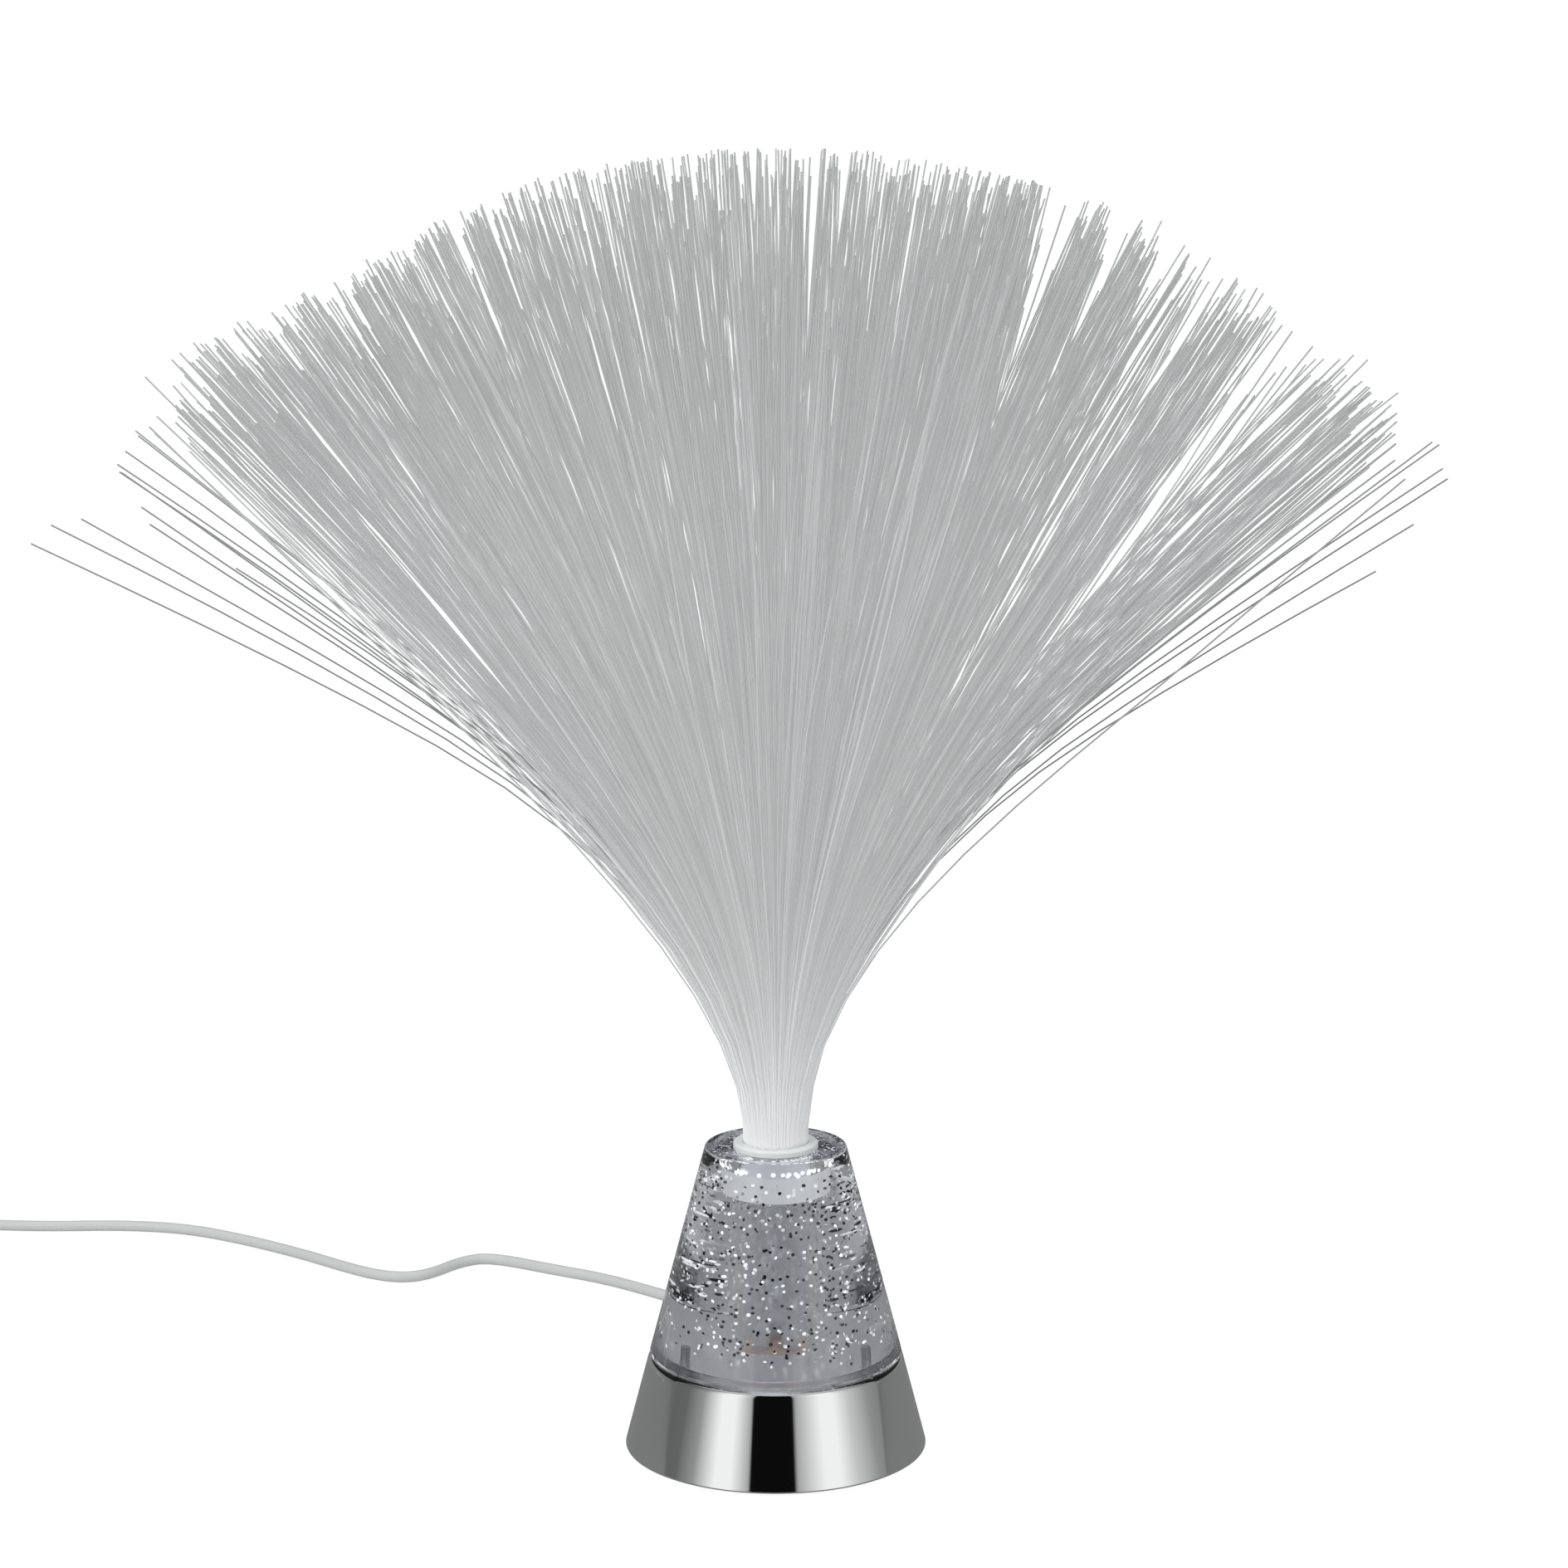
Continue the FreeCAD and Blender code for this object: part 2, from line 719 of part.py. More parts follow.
def coil_stations():
    """Half-turn stations: spiral in on the table, climb a layer, spiral out again."""
    stations = []
    inward = coil_half_turns_in
    for index in range(2 * inward + 1):
        if index <= inward:
            steps, level = index, coil_lift
        else:
            steps, level = 2 * inward + 1 - index, coil_lift + coil_pitch
        turn = math.pi / 2 + math.pi * index
        inset = coil_climb_inset if steps == inward else 0.0
        radius = coil_outer_radius - steps * coil_pitch / 2 - inset
        centre = Vector(coil_centre[0], coil_centre[1], level)
        spot = centre + Vector(radius * math.cos(turn), radius * math.sin(turn), 0)
        stations.append((spot, Vector(-math.sin(turn), math.cos(turn), 0)))
    return stations


def coil_gap(path):
    """Least gap between stretches of the coil that are more than half a turn apart."""
    points = path.discretize(Distance=1.0)
    apart = int(math.pi * coil_mid_radius * 0.75)
    least = min((points[i] - points[j]).Length
                for i in range(len(points)) for j in range(i + apart, len(points)))
    return least - cord_diameter


def cord_coil():
    """Neat put-away coil: one unbroken tube in two layers, with straight ends."""
    stations = coil_stations()
    edges = []
    for (start, start_way), (end, end_way) in zip(stations, stations[1:]):
        edges += [arc.toShape() for arc in biarc(start, start_way, end, end_way)]
    first, first_way = stations[0]
    last, last_way = stations[-1]
    mouth = first - first_way * cord_diameter
    edges.insert(0, Part.LineSegment(mouth, first).toShape())
    edges.append(Part.LineSegment(last, last + last_way * cord_diameter).toShape())
    path = Part.Wire(edges)
    coil = path.makePipeShell([section(mouth, first_way, cord_radius, cord_sides)], True, False)
    area = cord_sides / 2 * cord_radius ** 2 * math.sin(2 * math.pi / cord_sides)
    print("coil length", round(path.Length, 1), "least gap", round(coil_gap(path), 2))
    print("coil volume", round(coil.Volume, 1), "section times length", round(area * path.Length, 1))
    return coil


def cord_tie():
    """Thin band round all the turns of the coil at one place."""
    innermost = coil_outer_radius - coil_half_turns_in * coil_pitch / 2 - coil_climb_inset
    inside = innermost - cord_radius - tie_clearance
    outside = coil_outer_radius + cord_radius + tie_clearance
    band = outside - inside + 2 * tie_thickness
    height = 2 * cord_radius + coil_pitch + 2 * tie_clearance + 2 * tie_thickness
    ring = plate(band, height, tie_width)
    ring = ring.cut(plate(band - 2 * tie_thickness, height - 2 * tie_thickness, tie_width))
    ring.rotate(Vector(), Vector(1, 0, 0), 90)
    ring.translate(Vector((inside + outside) / 2, tie_width / 2, height / 2))
    ring.rotate(Vector(), UP, tie_azimuth)
    ring.translate(Vector(coil_centre[0], coil_centre[1], 0))
    return ring


def lead_wires():
    """Thin leads inside the base: cord to board, cord to switch, switch to board."""
    start = cord_inner_end
    run = start - wire_straight
    blade = switch_frame_placement()
    low = blade.multVec(Vector(0, -terminal_spacing / 2, -switch_body_depth - terminal_length - wire_radius))
    high = blade.multVec(Vector(0, terminal_spacing / 2, -switch_body_depth - terminal_length - wire_radius))
    routes = [
        [Vector(-0.9, start, cord_exit_level), Vector(-0.9, run, cord_exit_level), Vector(-4, 9, 10),
         Vector(-4.5, 0, 17), Vector(-4.5, 0, deck_level)],
        [Vector(0.9, start, cord_exit_level), Vector(0.9, run, cord_exit_level), Vector(5, 16, 8.2), low],
        [high, Vector(6, 8, 17), Vector(4.5, 0, 21), Vector(4.5, 0, deck_level)],
    ]
    wires = []
    for route in routes:
        start = section(route[0], (route[1] - route[0]).normalize(), wire_radius, 4)
        wires.append(Part.makePolygon(route).makePipeShell([start], True, False, 1))
    return wires


def plug_placement():
    """Plug frame: x along the plug from cord to tip, z up."""
    spot = plug_route()[-1]
    return Placement(spot, Rotation(UP, -90))


def plug_route():
    """Short tail from the coil's upper end, round to the plug beside the coil."""
    last, way = coil_stations()[-1]
    start = last + way * cord_diameter
    drop = start.z - plug_grip_height / 2
    turns = [
        (0, 0, 0),
        (-0.32, 0, 0),
        (-0.63, -0.11, -0.3),
        (-0.88, -0.34, -0.7),
        (-1, -0.65, -1),
        (-1, -0.98, -1),
    ]
    return [start + Vector(x * plug_turn, y * plug_turn, z * drop) for x, y, z in turns]


def on_plug(shape):
    """Move a piece from the plug's frame to the table."""
    shape.Placement = plug_placement().multiply(shape.Placement)
    return shape


def along(shape, start):
    """Turn a piece standing on Z to lie along X from start."""
    shape.rotate(Vector(), Vector(0, 1, 0), 90)
    shape.rotate(Vector(), Vector(1, 0, 0), 90)
    shape.translate(Vector(start, 0, 0))
    return shape


def plug_grip():
    """Moulded grip with a tapered neck round the cord and a socket for the metal shell."""
    neck = small_rod(plug_neck_radius, plug_neck_length, Vector(), Vector(1, 0, 0))
    block_shape = plate(plug_grip_width, plug_grip_height, plug_grip_length, plug_grip_round)
    grip = along(block_shape, plug_neck_length)
    body = fuse(neck, grip)
    front = plug_neck_length + plug_grip_length
    socket = along(plate(plug_shell_width, plug_shell_height, plug_shell_root, plug_shell_round),
                   front - plug_shell_root)
    return on_plug(body.cut(socket))


def plug_shell():
    """Folded steel shell of the plug with two windows."""
    start = plug_neck_length + plug_grip_length - plug_shell_root
    length = plug_shell_root + plug_shell_length
    outside = plate(plug_shell_width, plug_shell_height, length, plug_shell_round)
    hollow = plate(plug_shell_width - 2 * plug_shell_wall, plug_shell_height - 2 * plug_shell_wall, length)
    shell = along(outside.cut(hollow), start)
    windows = []
    for side in (-1, 1):
        place = (start + plug_shell_root + plug_window_setback, side * plug_window_offset, 0)
        windows.append(block(plug_window, plug_window, plug_shell_height, place))
    return on_plug(shell.cut(windows))


def plug_tongue():
    """Insulating tongue against the lower wall of the shell."""
    start = plug_neck_length + plug_grip_length - plug_shell_root
    length = plug_shell_root + plug_shell_length - plug_tongue_short
    wide = plug_shell_width - 2 * plug_shell_wall
    floor = -plug_shell_height / 2 + plug_shell_wall
    tongue = Part.makeBox(length, wide, plug_tongue_thickness, Vector(start, -wide / 2, floor))
    return on_plug(tongue)


def plug_contacts():
    """Four flat contacts on the tongue."""
    front = plug_neck_length + plug_grip_length
    level = -plug_shell_height / 2 + plug_shell_wall + plug_tongue_thickness
    length = plug_shell_length - 2 * plug_tongue_short
    contacts = []
    for index in range(contact_count):
        side = (index - (contact_count - 1) / 2) * contact_pitch
        strip = Part.makeBox(length, contact_width, contact_thickness,
                             Vector(front, side - contact_width / 2, level))
        contacts.append(on_plug(strip))
    return contacts


os.makedirs("parts", exist_ok=True)

# Base
write("base_shell", base_shell())
write("base_plate", base_plate())
write("foot_ring", foot_ring())
plate_head = plate_level + screw_head_height
write("plate_screws", *[screw(polar(plate_screw_circle, azimuth, plate_head), plate_screw_length, UP)
                        for azimuth in plate_screw_places()])
write("cone_screws", *[screw(polar(cone_screw_circle, azimuth, deck_underside), cone_screw_length, UP)
                       for azimuth in cone_screw_places()])

# Light source
write("led_board", led_board())
write("leds", *[led(90 + index * 360 / led_count) for index in range(led_count)])
write("board_parts", *board_parts())
write("lead_wires", *lead_wires())

# Cone, collar and fibres
write("glitter_cone", glitter_cone())
write("fibre_ferrule", ferrule())
write("bundle_root", faceted_plug(bundle_radius, ferrule_bottom, bundle_radius, bundle_top, inner_sides))
groups = ("fibres_inner", "fibres_middle", "fibres_outer")
for place, node in enumerate(groups):
    first_strand = place * strand_count // len(groups)
    last_strand = (place + 1) * strand_count // len(groups)
    write(node, *[strand(index) for index in range(first_strand, last_strand)])

# Switch
write("switch_bezel", switch_bezel())
write("switch_rocker", switch_rocker())
write("switch_terminals", *switch_terminals())

# Cord inside the base
write("strain_relief", strain_relief())
write("cord_tail", small_rod(cord_radius, cord_start - cord_inner_end,
                             Vector(0, cord_inner_end, cord_exit_level), Vector(0, 1, 0)))
write("cord_clamp", cord_clamp())
clamp_head = cord_exit_level + clamp_gap / 2 + clamp_thickness
write("clamp_screws", *[screw(Vector(side * clamp_screw_offset, clamp_place, clamp_head), clamp_screw_length,
                              UP * -1) for side in (-1, 1)])

# Cord on the table, coil, tie and plug
write("power_cord", tube([Vector(*spot) for spot in cord_route], cord_radius, cord_sides, "power cord"))
write("cord_coil", cord_coil())
write("cord_tie", cord_tie())
write("plug_cord", tube(plug_route(), cord_radius, cord_sides, "plug cord"))
write("plug_grip", plug_grip())
write("plug_shell", plug_shell())
write("plug_tongue", plug_tongue())
write("plug_contacts", *plug_contacts())
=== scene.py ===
# %% [markdown]
# # A fibre optic lamp, built as a lesson in cells
# The lamp stands 37 cm tall. A plated cone carries a clear cone full of silver
# flakes, and a white collar on top of that holds a thick bundle of plastic
# fibres, which open into a wide spray. A thin white lead leaves at the back.
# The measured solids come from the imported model, so this file only adds looks:
# it loads the model, keeps its box, and then dresses or replaces its pieces.

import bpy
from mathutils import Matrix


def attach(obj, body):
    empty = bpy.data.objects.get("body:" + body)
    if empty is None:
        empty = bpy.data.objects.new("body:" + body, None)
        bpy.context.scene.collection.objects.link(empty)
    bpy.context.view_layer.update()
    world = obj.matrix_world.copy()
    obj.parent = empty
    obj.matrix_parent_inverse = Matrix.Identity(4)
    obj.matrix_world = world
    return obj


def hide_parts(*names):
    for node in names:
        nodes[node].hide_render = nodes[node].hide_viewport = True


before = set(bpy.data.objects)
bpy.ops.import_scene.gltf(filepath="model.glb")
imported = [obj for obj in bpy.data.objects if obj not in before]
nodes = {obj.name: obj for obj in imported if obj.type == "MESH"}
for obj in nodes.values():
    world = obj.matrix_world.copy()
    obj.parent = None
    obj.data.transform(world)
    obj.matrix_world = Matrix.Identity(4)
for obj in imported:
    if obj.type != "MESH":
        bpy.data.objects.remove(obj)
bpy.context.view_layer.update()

import math

import bmesh
import bpy
import numpy as np
from mathutils import Matrix, Vector

scene = bpy.context.scene

# %% [markdown]
# ## Camera
# The photograph was taken with a long lens from a little above: the ellipse of
# the base is about a third as tall as it is wide, so the line of sight falls by
# 20 degrees there, and the horizon lies near the top edge. The lens and distance
# follow from how much flatter the ellipses of the cone's rim and the collar are.

# %% Camera at the photograph's angle
camera_data = bpy.data.cameras.new("photo_camera")
camera_data.lens = 90.7
camera_data.sensor_width = 36.0
camera_data.clip_end = 100.0
camera = bpy.data.objects.new("photo_camera", camera_data)
camera_tilt = math.radians(10.72)
camera.location = (0.0024, -1.1, 0.4046)
camera.rotation_euler = (math.pi / 2 - camera_tilt, 0.0, 0.0)
scene.collection.objects.link(camera)
scene.camera = camera
print("camera looks down by", round(math.degrees(camera_tilt), 2), "degrees")

# %% [markdown]
# ## The lead's line
# A lead is one length of something flexible, so it is one open curve. It leaves
# the gland level, drops to the table, makes the lazy bend that the photograph
# shows, and runs out of the picture to the left. What is left over is wound
# into a small coil, as for storage, and ends in its plug. All of it is one
# NURBS line of order 3, because that stays smooth between a few points.

# %% Points that the lead follows
MM = 0.001
table_level = 1.8
coil_level = 2.45
lead_exit = (0.0, 52.103, 8.8)
lead_run = [
    lead_exit, (0, 62.1, 8.8), (-1.5, 77.5, 4.6), (-6, 93, table_level), (-15, 109, table_level),
    (-27, 124, table_level), (-41, 137, table_level), (-57, 150.5, table_level), (-74, 160, table_level),
    (-96, 173.4, table_level), (-105.5, 169, table_level), (-113.5, 157, table_level),
    (-120.5, 151.8, table_level), (-129, 152.6, table_level), (-140, 159.5, table_level),
    (-160, 177.5, table_level), (-182, 194, table_level), (-204, 206.5, table_level),
    (-228, 210, table_level), (-250, 208.5, table_level), (-273, 210.5, table_level),
    (-293, 209.925, coil_level), (-305, 209.925, coil_level),
]

# The coil goes in for three half turns, climbs one layer and comes out again
coil_middle = (-313.0, 187.0)
coil_radii = [22.925, 20.85, 18.775, 16.1, 16.7, 18.775, 20.85]
coil_levels = [coil_level] * 4 + [coil_level + 4.15] * 3
steps_per_half_turn = 8
spread = 1 / math.cos(math.pi / steps_per_half_turn / 2)
coil_points = []
for step in range(steps_per_half_turn * 6 + 1):
    half_turns = step / steps_per_half_turn
    turn = math.pi * (half_turns + 0.5)
    radius = np.interp(half_turns, range(7), coil_radii) * spread
    level = np.interp(half_turns, range(7), coil_levels)
    coil_points.append((
        coil_middle[0] + radius * math.cos(turn), coil_middle[1] + radius * math.sin(turn), level))

# From the coil the end swings round to the plug beside it
tail_start = (coil_middle[0] - 3.6, coil_middle[1] + coil_radii[-1], coil_levels[-1])
tail_turn = 31.0
tail_drop = coil_levels[-1] - 4.0
tail_steps = [(-0.32, 0, 0), (-0.63, -0.11, -0.3), (-0.88, -0.34, -0.7), (-1, -0.65, -1), (-1, -0.98, -1)]
lead_tail = [(tail_start[0] + x * tail_turn, tail_start[1] + y * tail_turn, tail_start[2] + z * tail_drop)
             for x, y, z in tail_steps]
lead_points = np.array(lead_run + coil_points + lead_tail) * MM
print("lead points", len(lead_points))
runs = np.linalg.norm(np.diff(lead_points, axis=0), axis=1)
print("straight runs between them add up to", round(float(runs.sum()), 3), "m")

# %% The lead as one smooth curve
lead_data = bpy.data.curves.new("lead", "CURVE")
lead_data.dimensions = "3D"
lead_data.resolution_u = 6
lead_data.bevel_depth = 1.0
lead_data.bevel_resolution = 5
lead_data.use_fill_caps = True
spline = lead_data.splines.new("NURBS")
spline.points.add(len(lead_points) - 1)
spline.points.foreach_set("co", np.hstack([lead_points, np.ones((len(lead_points), 1))]).ravel())
spline.points.foreach_set("radius", np.full(len(lead_points), 1.8 * MM))
spline.order_u = 3
spline.use_endpoint_u = True
lead = bpy.data.objects.new("lead", lead_data)
scene.collection.objects.link(lead)
plug_end = Vector(lead_points[-1])
print("lead ends at", [round(value, 4) for value in plug_end])

# %% [markdown]
# ## Making surfaces from numbers
# Nearly every new piece is a grid of points: one parameter runs along a
# profile, the other goes round. The grid is worked out with whole numpy arrays
# and handed to Blender once. If the sum of signed volumes is negative, the
# faces look inwards, so their order is turned round.

# %% From arrays to a mesh object
def signed_volume(points, faces):
    """A sixth of the sum over triangle fans of a . (b x c), positive when faces point outwards."""
    total = 0.0
    for size in sorted(set(map(len, faces))):
        ring = np.array([face for face in faces if len(face) == size])
        for second in range(1, size - 1):
            a, b, c = points[ring[:, 0]], points[ring[:, second]], points[ring[:, second + 1]]
            total += np.einsum("ij,ij->i", a, np.cross(b, c)).sum() / 6
    return total


def make_piece(name, points, faces, crease=40.0):
    """Mesh object with its place in its vertices; edges sharper than crease degrees stay sharp."""
    points = np.asarray(points, float).reshape(-1, 3)
    if signed_volume(points, faces) < 0:
        faces = [tuple(reversed(face)) for face in faces]
    mesh = bpy.data.meshes.new(name)
    mesh.from_pydata(points.tolist(), [], [tuple(face) for face in faces])
    mesh.update()
    mesh.polygons.foreach_set("use_smooth", np.ones(len(mesh.polygons), bool))
    mesh.set_sharp_from_angle(angle=math.radians(crease))
    made = bpy.data.objects.new(name, mesh)
    scene.collection.objects.link(made)
    return made


def grid_faces(rows, columns, close_rows, close_columns):
    """Quads of a grid numbered row by row; a closed direction joins its last line to its first."""
    row = np.arange(rows if close_rows else rows - 1)
    column = np.arange(columns if close_columns else columns - 1)
    here, across = np.meshgrid(row, column, indexing="ij")
    below, beside = (here + 1) % rows, (across + 1) % columns
    corners = [(here, across), (here, beside), (below, beside), (below, across)]
    return np.stack([line * columns + spot for line, spot in corners], axis=-1).reshape(-1, 4).tolist()


print("a grid of 3 by 4, closed round, has", len(grid_faces(3, 4, False, True)), "faces")


# %% Profiles with rounded corners, turned about an axis
def soften(corners, steps=6):
    """Corners (r, z, round) to a polyline.

    At each corner the points are a quadratic Bezier from corner + back*round to corner + ahead*round,
    with one more point beyond each end, which keeps the shading of the straight parts flat.
    """
    spots = np.array([corner[:2] for corner in corners], float)
    line = []
    for index, corner in enumerate(corners):
        here = spots[index]
        size = corner[2] if len(corner) > 2 else 0.0
        if not size:
            line.append(here)
            continue
        back = spots[index - 1] - here
        ahead = spots[(index + 1) % len(corners)] - here
        start = here + back / np.linalg.norm(back) * size
        finish = here + ahead / np.linalg.norm(ahead) * size
        share = np.linspace(0, 1, steps)[:, None]
        line.append(here + (start - here) * 1.25)
        line.extend((1 - share) ** 2 * start + 2 * share * (1 - share) * here + share ** 2 * finish)
        line.append(here + (finish - here) * 1.25)
    return np.array(line)


def turned(name, corners, around=192, place=None, crease=40.0):
    """Closed outline of (radius, height, round) in millimetres carried round the Z axis.

    x = r cos a, y = r sin a, z = z; an outline point on the axis becomes a pole.
    """
    line = soften(corners)
    angle = np.linspace(0, 2 * np.pi, around, endpoint=False)
    ring = np.stack([np.cos(angle), np.sin(angle), np.zeros(around)], axis=-1)
    points = line[:, None, :1] * ring + line[:, None, 1:] * np.array([0, 0, 1.0])
    faces = grid_faces(len(line), around, True, True)
    made = make_piece(name, finish_place(points * MM, place), faces, crease)
    if np.any(line[:, 0] < 1e-6):
        close_poles(made)
    return made


def finish_place(points, place):
    """Points times a 4 by 4 matrix, or as they are."""
    points = np.asarray(points, float).reshape(-1, 3)
    if place is None:
        return points
    matrix = np.array(place)
    return points @ matrix[:3, :3].T + matrix[:3, 3]


def close_poles(piece):
    """Merges the doubled points on the axis and drops the faces that have no area."""
    work = bmesh.new()
    work.from_mesh(piece.data)
    bmesh.ops.remove_doubles(work, verts=work.verts, dist=1e-7)
    bmesh.ops.dissolve_degenerate(work, edges=work.edges, dist=1e-8)
    bmesh.ops.recalc_face_normals(work, faces=work.faces)
    work.to_mesh(piece.data)
    work.free()


print("a rounded square has", len(soften([(0, 0, 1), (4, 0, 1), (4, 4, 1), (0, 4, 1)])), "outline points")


# %% Cutting one piece out of another
def cut(piece, *tools):
    """Takes the tools' shapes out of a piece and removes the tools."""
    for tool in tools:
        step = piece.modifiers.new("cut", "BOOLEAN")
        step.object = tool
        step.operation = "DIFFERENCE"
        step.solver = "EXACT"
    bpy.context.view_layer.update()
    shaped = bpy.data.meshes.new_from_object(piece.evaluated_get(bpy.context.evaluated_depsgraph_get()))
    piece.modifiers.clear()
    piece.data = shaped
    for tool in tools:
        bpy.data.objects.remove(tool)
    return piece


# %% [markdown]
# ## Shader sums in Python
# A material is a small sum. Wrapping a socket in a class with Python's own
# operators lets that sum be written as one line, and each operator adds a Math
# node. Colours and vectors never go through Math, which would turn them grey:
# colours go through Mix.

# %% A value in a node tree
class Value:
    """One output socket; + - * ** and their reflected forms add Math nodes."""

    def __init__(self, tree, socket):
        self.tree = tree
        self.socket = socket

    def _sum(self, operation, first, second):
        node = self.tree.nodes.new("ShaderNodeMath")
        node.operation = operation
        for target, given in zip(node.inputs, (first, second)):
            join(self.tree, target, given)
        return Value(self.tree, node.outputs[0])

    def __add__(self, other):
        return self._sum("ADD", self, other)

    def __sub__(self, other):
        return self._sum("SUBTRACT", self, other)

    def __rsub__(self, other):
        return self._sum("SUBTRACT", other, self)

    def __mul__(self, other):
        return self._sum("MULTIPLY", self, other)

    def __pow__(self, other):
        return self._sum("POWER", self, other)

    __radd__ = __add__
    __rmul__ = __mul__


def join(tree, target, given):
    """Links a value to a socket, or sets the socket's own number or colour."""
    if isinstance(given, Value):
        tree.links.new(given.socket, target)
    elif hasattr(given, "__len__") and len(given) == 3 and target.type == "RGBA":
        target.default_value = (*given, 1.0)
    else:
        target.default_value = given


# %% A finish: one material with a Principled shader
class Finish:
    """A material whose constants sit on the shader's own sockets."""

    def __init__(self, name, **constants):
        self.material = bpy.data.materials.new(name)
        self.material.use_nodes = True
        self.tree = self.material.node_tree
        self.tree.nodes.clear()
        self.shader = self.tree.nodes.new("ShaderNodeBsdfPrincipled")
        self.output = self.tree.nodes.new("ShaderNodeOutputMaterial")
        self.tree.links.new(self.shader.outputs[0], self.output.inputs["Surface"])
        for socket, given in constants.items():
            self.feed(socket.replace("_", " "), given)

    def feed(self, socket, given):
        join(self.tree, self.shader.inputs[socket], given)
        return self

    def node(self, kind, settings=None, sockets=None, out=0):
        """Any node: its settings first, then its sockets' values or links."""
        made = self.tree.nodes.new(kind)
        for key, given in (settings or {}).items():
            if key == "stops":
                set_stops(made.color_ramp, given)
            else:
                setattr(made, key, given)
        for key, given in (sockets or {}).items():
            join(self.tree, made.inputs[key], given)
        return Value(self.tree, made.outputs[out])

    def place(self, scale=(1, 1, 1)):
        """Object coordinates, stretched."""
        here = self.node("ShaderNodeTexCoord", out="Object")
        return self.node("ShaderNodeMapping", sockets={"Vector": here, "Scale": scale})

    def noise(self, scale, detail=2.0, stretch=(1, 1, 1), rough=0.5):
        """Smooth noise from 0 to 1, at so many cells a metre."""
        return self.node("ShaderNodeTexNoise", sockets={
            "Vector": self.place(stretch), "Scale": scale, "Detail": detail, "Roughness": rough})

    def ramp(self, value, stops):
        return self.node("ShaderNodeValToRGB", {"stops": stops}, {"Fac": value})

    def mix(self, share, first, second):
        """Mix node between two colours."""
        return self.node("ShaderNodeMix", {"data_type": "RGBA"}, {0: share, 6: first, 7: second}, out=2)

    def bump(self, height, strength, distance):
        return self.node("ShaderNodeBump", sockets={
            "Height": height, "Strength": strength, "Distance": distance})


def set_stops(ramp, stops):
    """Writes a ramp's stops as (position, colour)."""
    while len(ramp.elements) < len(stops):
        ramp.elements.new(0.5)
    for element, (position, colour) in zip(ramp.elements, stops):
        element.position = position
        element.color = (*colour, 1.0)


def dress(finish, *pieces):
    """Gives every piece this one finish."""
    for piece in pieces:
        piece.data.materials.clear()
        piece.data.materials.append(finish.material)


# %% [markdown]
# ## Moulded plastics
# Housing, plug, switch and lead are all moulded. Real moulded plastic is never
# one flat colour: its tone drifts a little over centimetres, the tool leaves a
# fine grain, and handling polishes some places more than others. One function
# makes all of them from a colour, a roughness and the size of the grain.

# %% Plastic from a colour and a grain
made_before = len(bpy.data.materials)


def plastic(name, colour, roughness, grain=2500.0, depth=0.00001, drift=0.06, **constants):
    """Tone drifts by noise at 30 cells a metre, the grain is a bump, roughness follows both."""
    made = Finish(name, **constants)
    slow = made.noise(30.0, 3.0)
    fine = made.noise(grain, 3.0)
    dark = tuple(channel * (1 - drift) for channel in colour)
    light = tuple(min(1.0, channel * (1 + drift / 2)) for channel in colour)
    made.feed("Base Color", made.mix(slow, dark, light))
    made.feed("Roughness", roughness + (fine - 0.5) * 0.1 + (slow - 0.5) * 0.12)
    made.feed("Normal", made.bump(fine, 0.5, depth))
    return made


lead_finish = plastic("white_lead_sleeve", (0.53, 0.535, 0.53), 0.32, grain=1800.0, Subsurface_Weight=0.06,
                      Subsurface_Radius=(0.002, 0.002, 0.002))
rubber_finish = plastic("white_rubber", (0.74, 0.74, 0.72), 0.5, grain=3000.0, depth=0.00002)
black_finish = plastic("black_switch_plastic", (0.018, 0.018, 0.02), 0.42, drift=0.3)
rocker_finish = plastic("black_rocker_plastic", (0.022, 0.022, 0.024), 0.28, grain=1200.0, drift=0.3)
plate_finish = plastic("black_plate_plastic", (0.03, 0.03, 0.032), 0.55, grain=900.0, depth=0.00005,
                       drift=0.3)
foot_finish = plastic("grey_foot_rubber", (0.10, 0.10, 0.105), 0.75, grain=700.0, depth=0.00006, drift=0.2)
board_finish = plastic("board_laminate", (0.58, 0.43, 0.32), 0.45, grain=4000.0, drift=0.15)
part_finish = plastic("black_board_parts", (0.05, 0.048, 0.045), 0.4, drift=0.2)
tie_finish = plastic("clear_tie", (0.70, 0.71, 0.72), 0.35)
tongue_finish = plastic("white_plug_tongue", (0.85, 0.85, 0.84), 0.4)
clamp_finish = plastic("natural_clamp_plastic", (0.62, 0.60, 0.55), 0.5)
wire_finish = plastic("red_wire_sleeve", (0.55, 0.03, 0.025), 0.4)
print("plastics", len(bpy.data.materials) - made_before)

# %% [markdown]
# ## Metals
# Plating is a mirror with faint hairlines and a thin uneven film, turned steel
# shows rings, and plug metal is a duller nickel. In all of them the colour
# stays nearly the same and the roughness does the work.

# %% Metal from a colour and its hairlines
made_before = len(bpy.data.materials)


def metal(name, colour, roughness, hairlines=(400, 400, 4000), film=0.03, depth=0.000002):
    """Roughness is a base, plus hairlines stretched along one direction, plus a slow film."""
    made = Finish(name, Metallic=1.0)
    lines = made.noise(1.0, 4.0, stretch=hairlines)
    slow = made.noise(25.0, 3.0)
    made.feed("Base Color", made.mix(slow, tuple(channel * 0.96 for channel in colour), colour))
    made.feed("Roughness", roughness + lines * film + slow * film)
    made.feed("Normal", made.bump(lines, 0.15, depth))
    return made


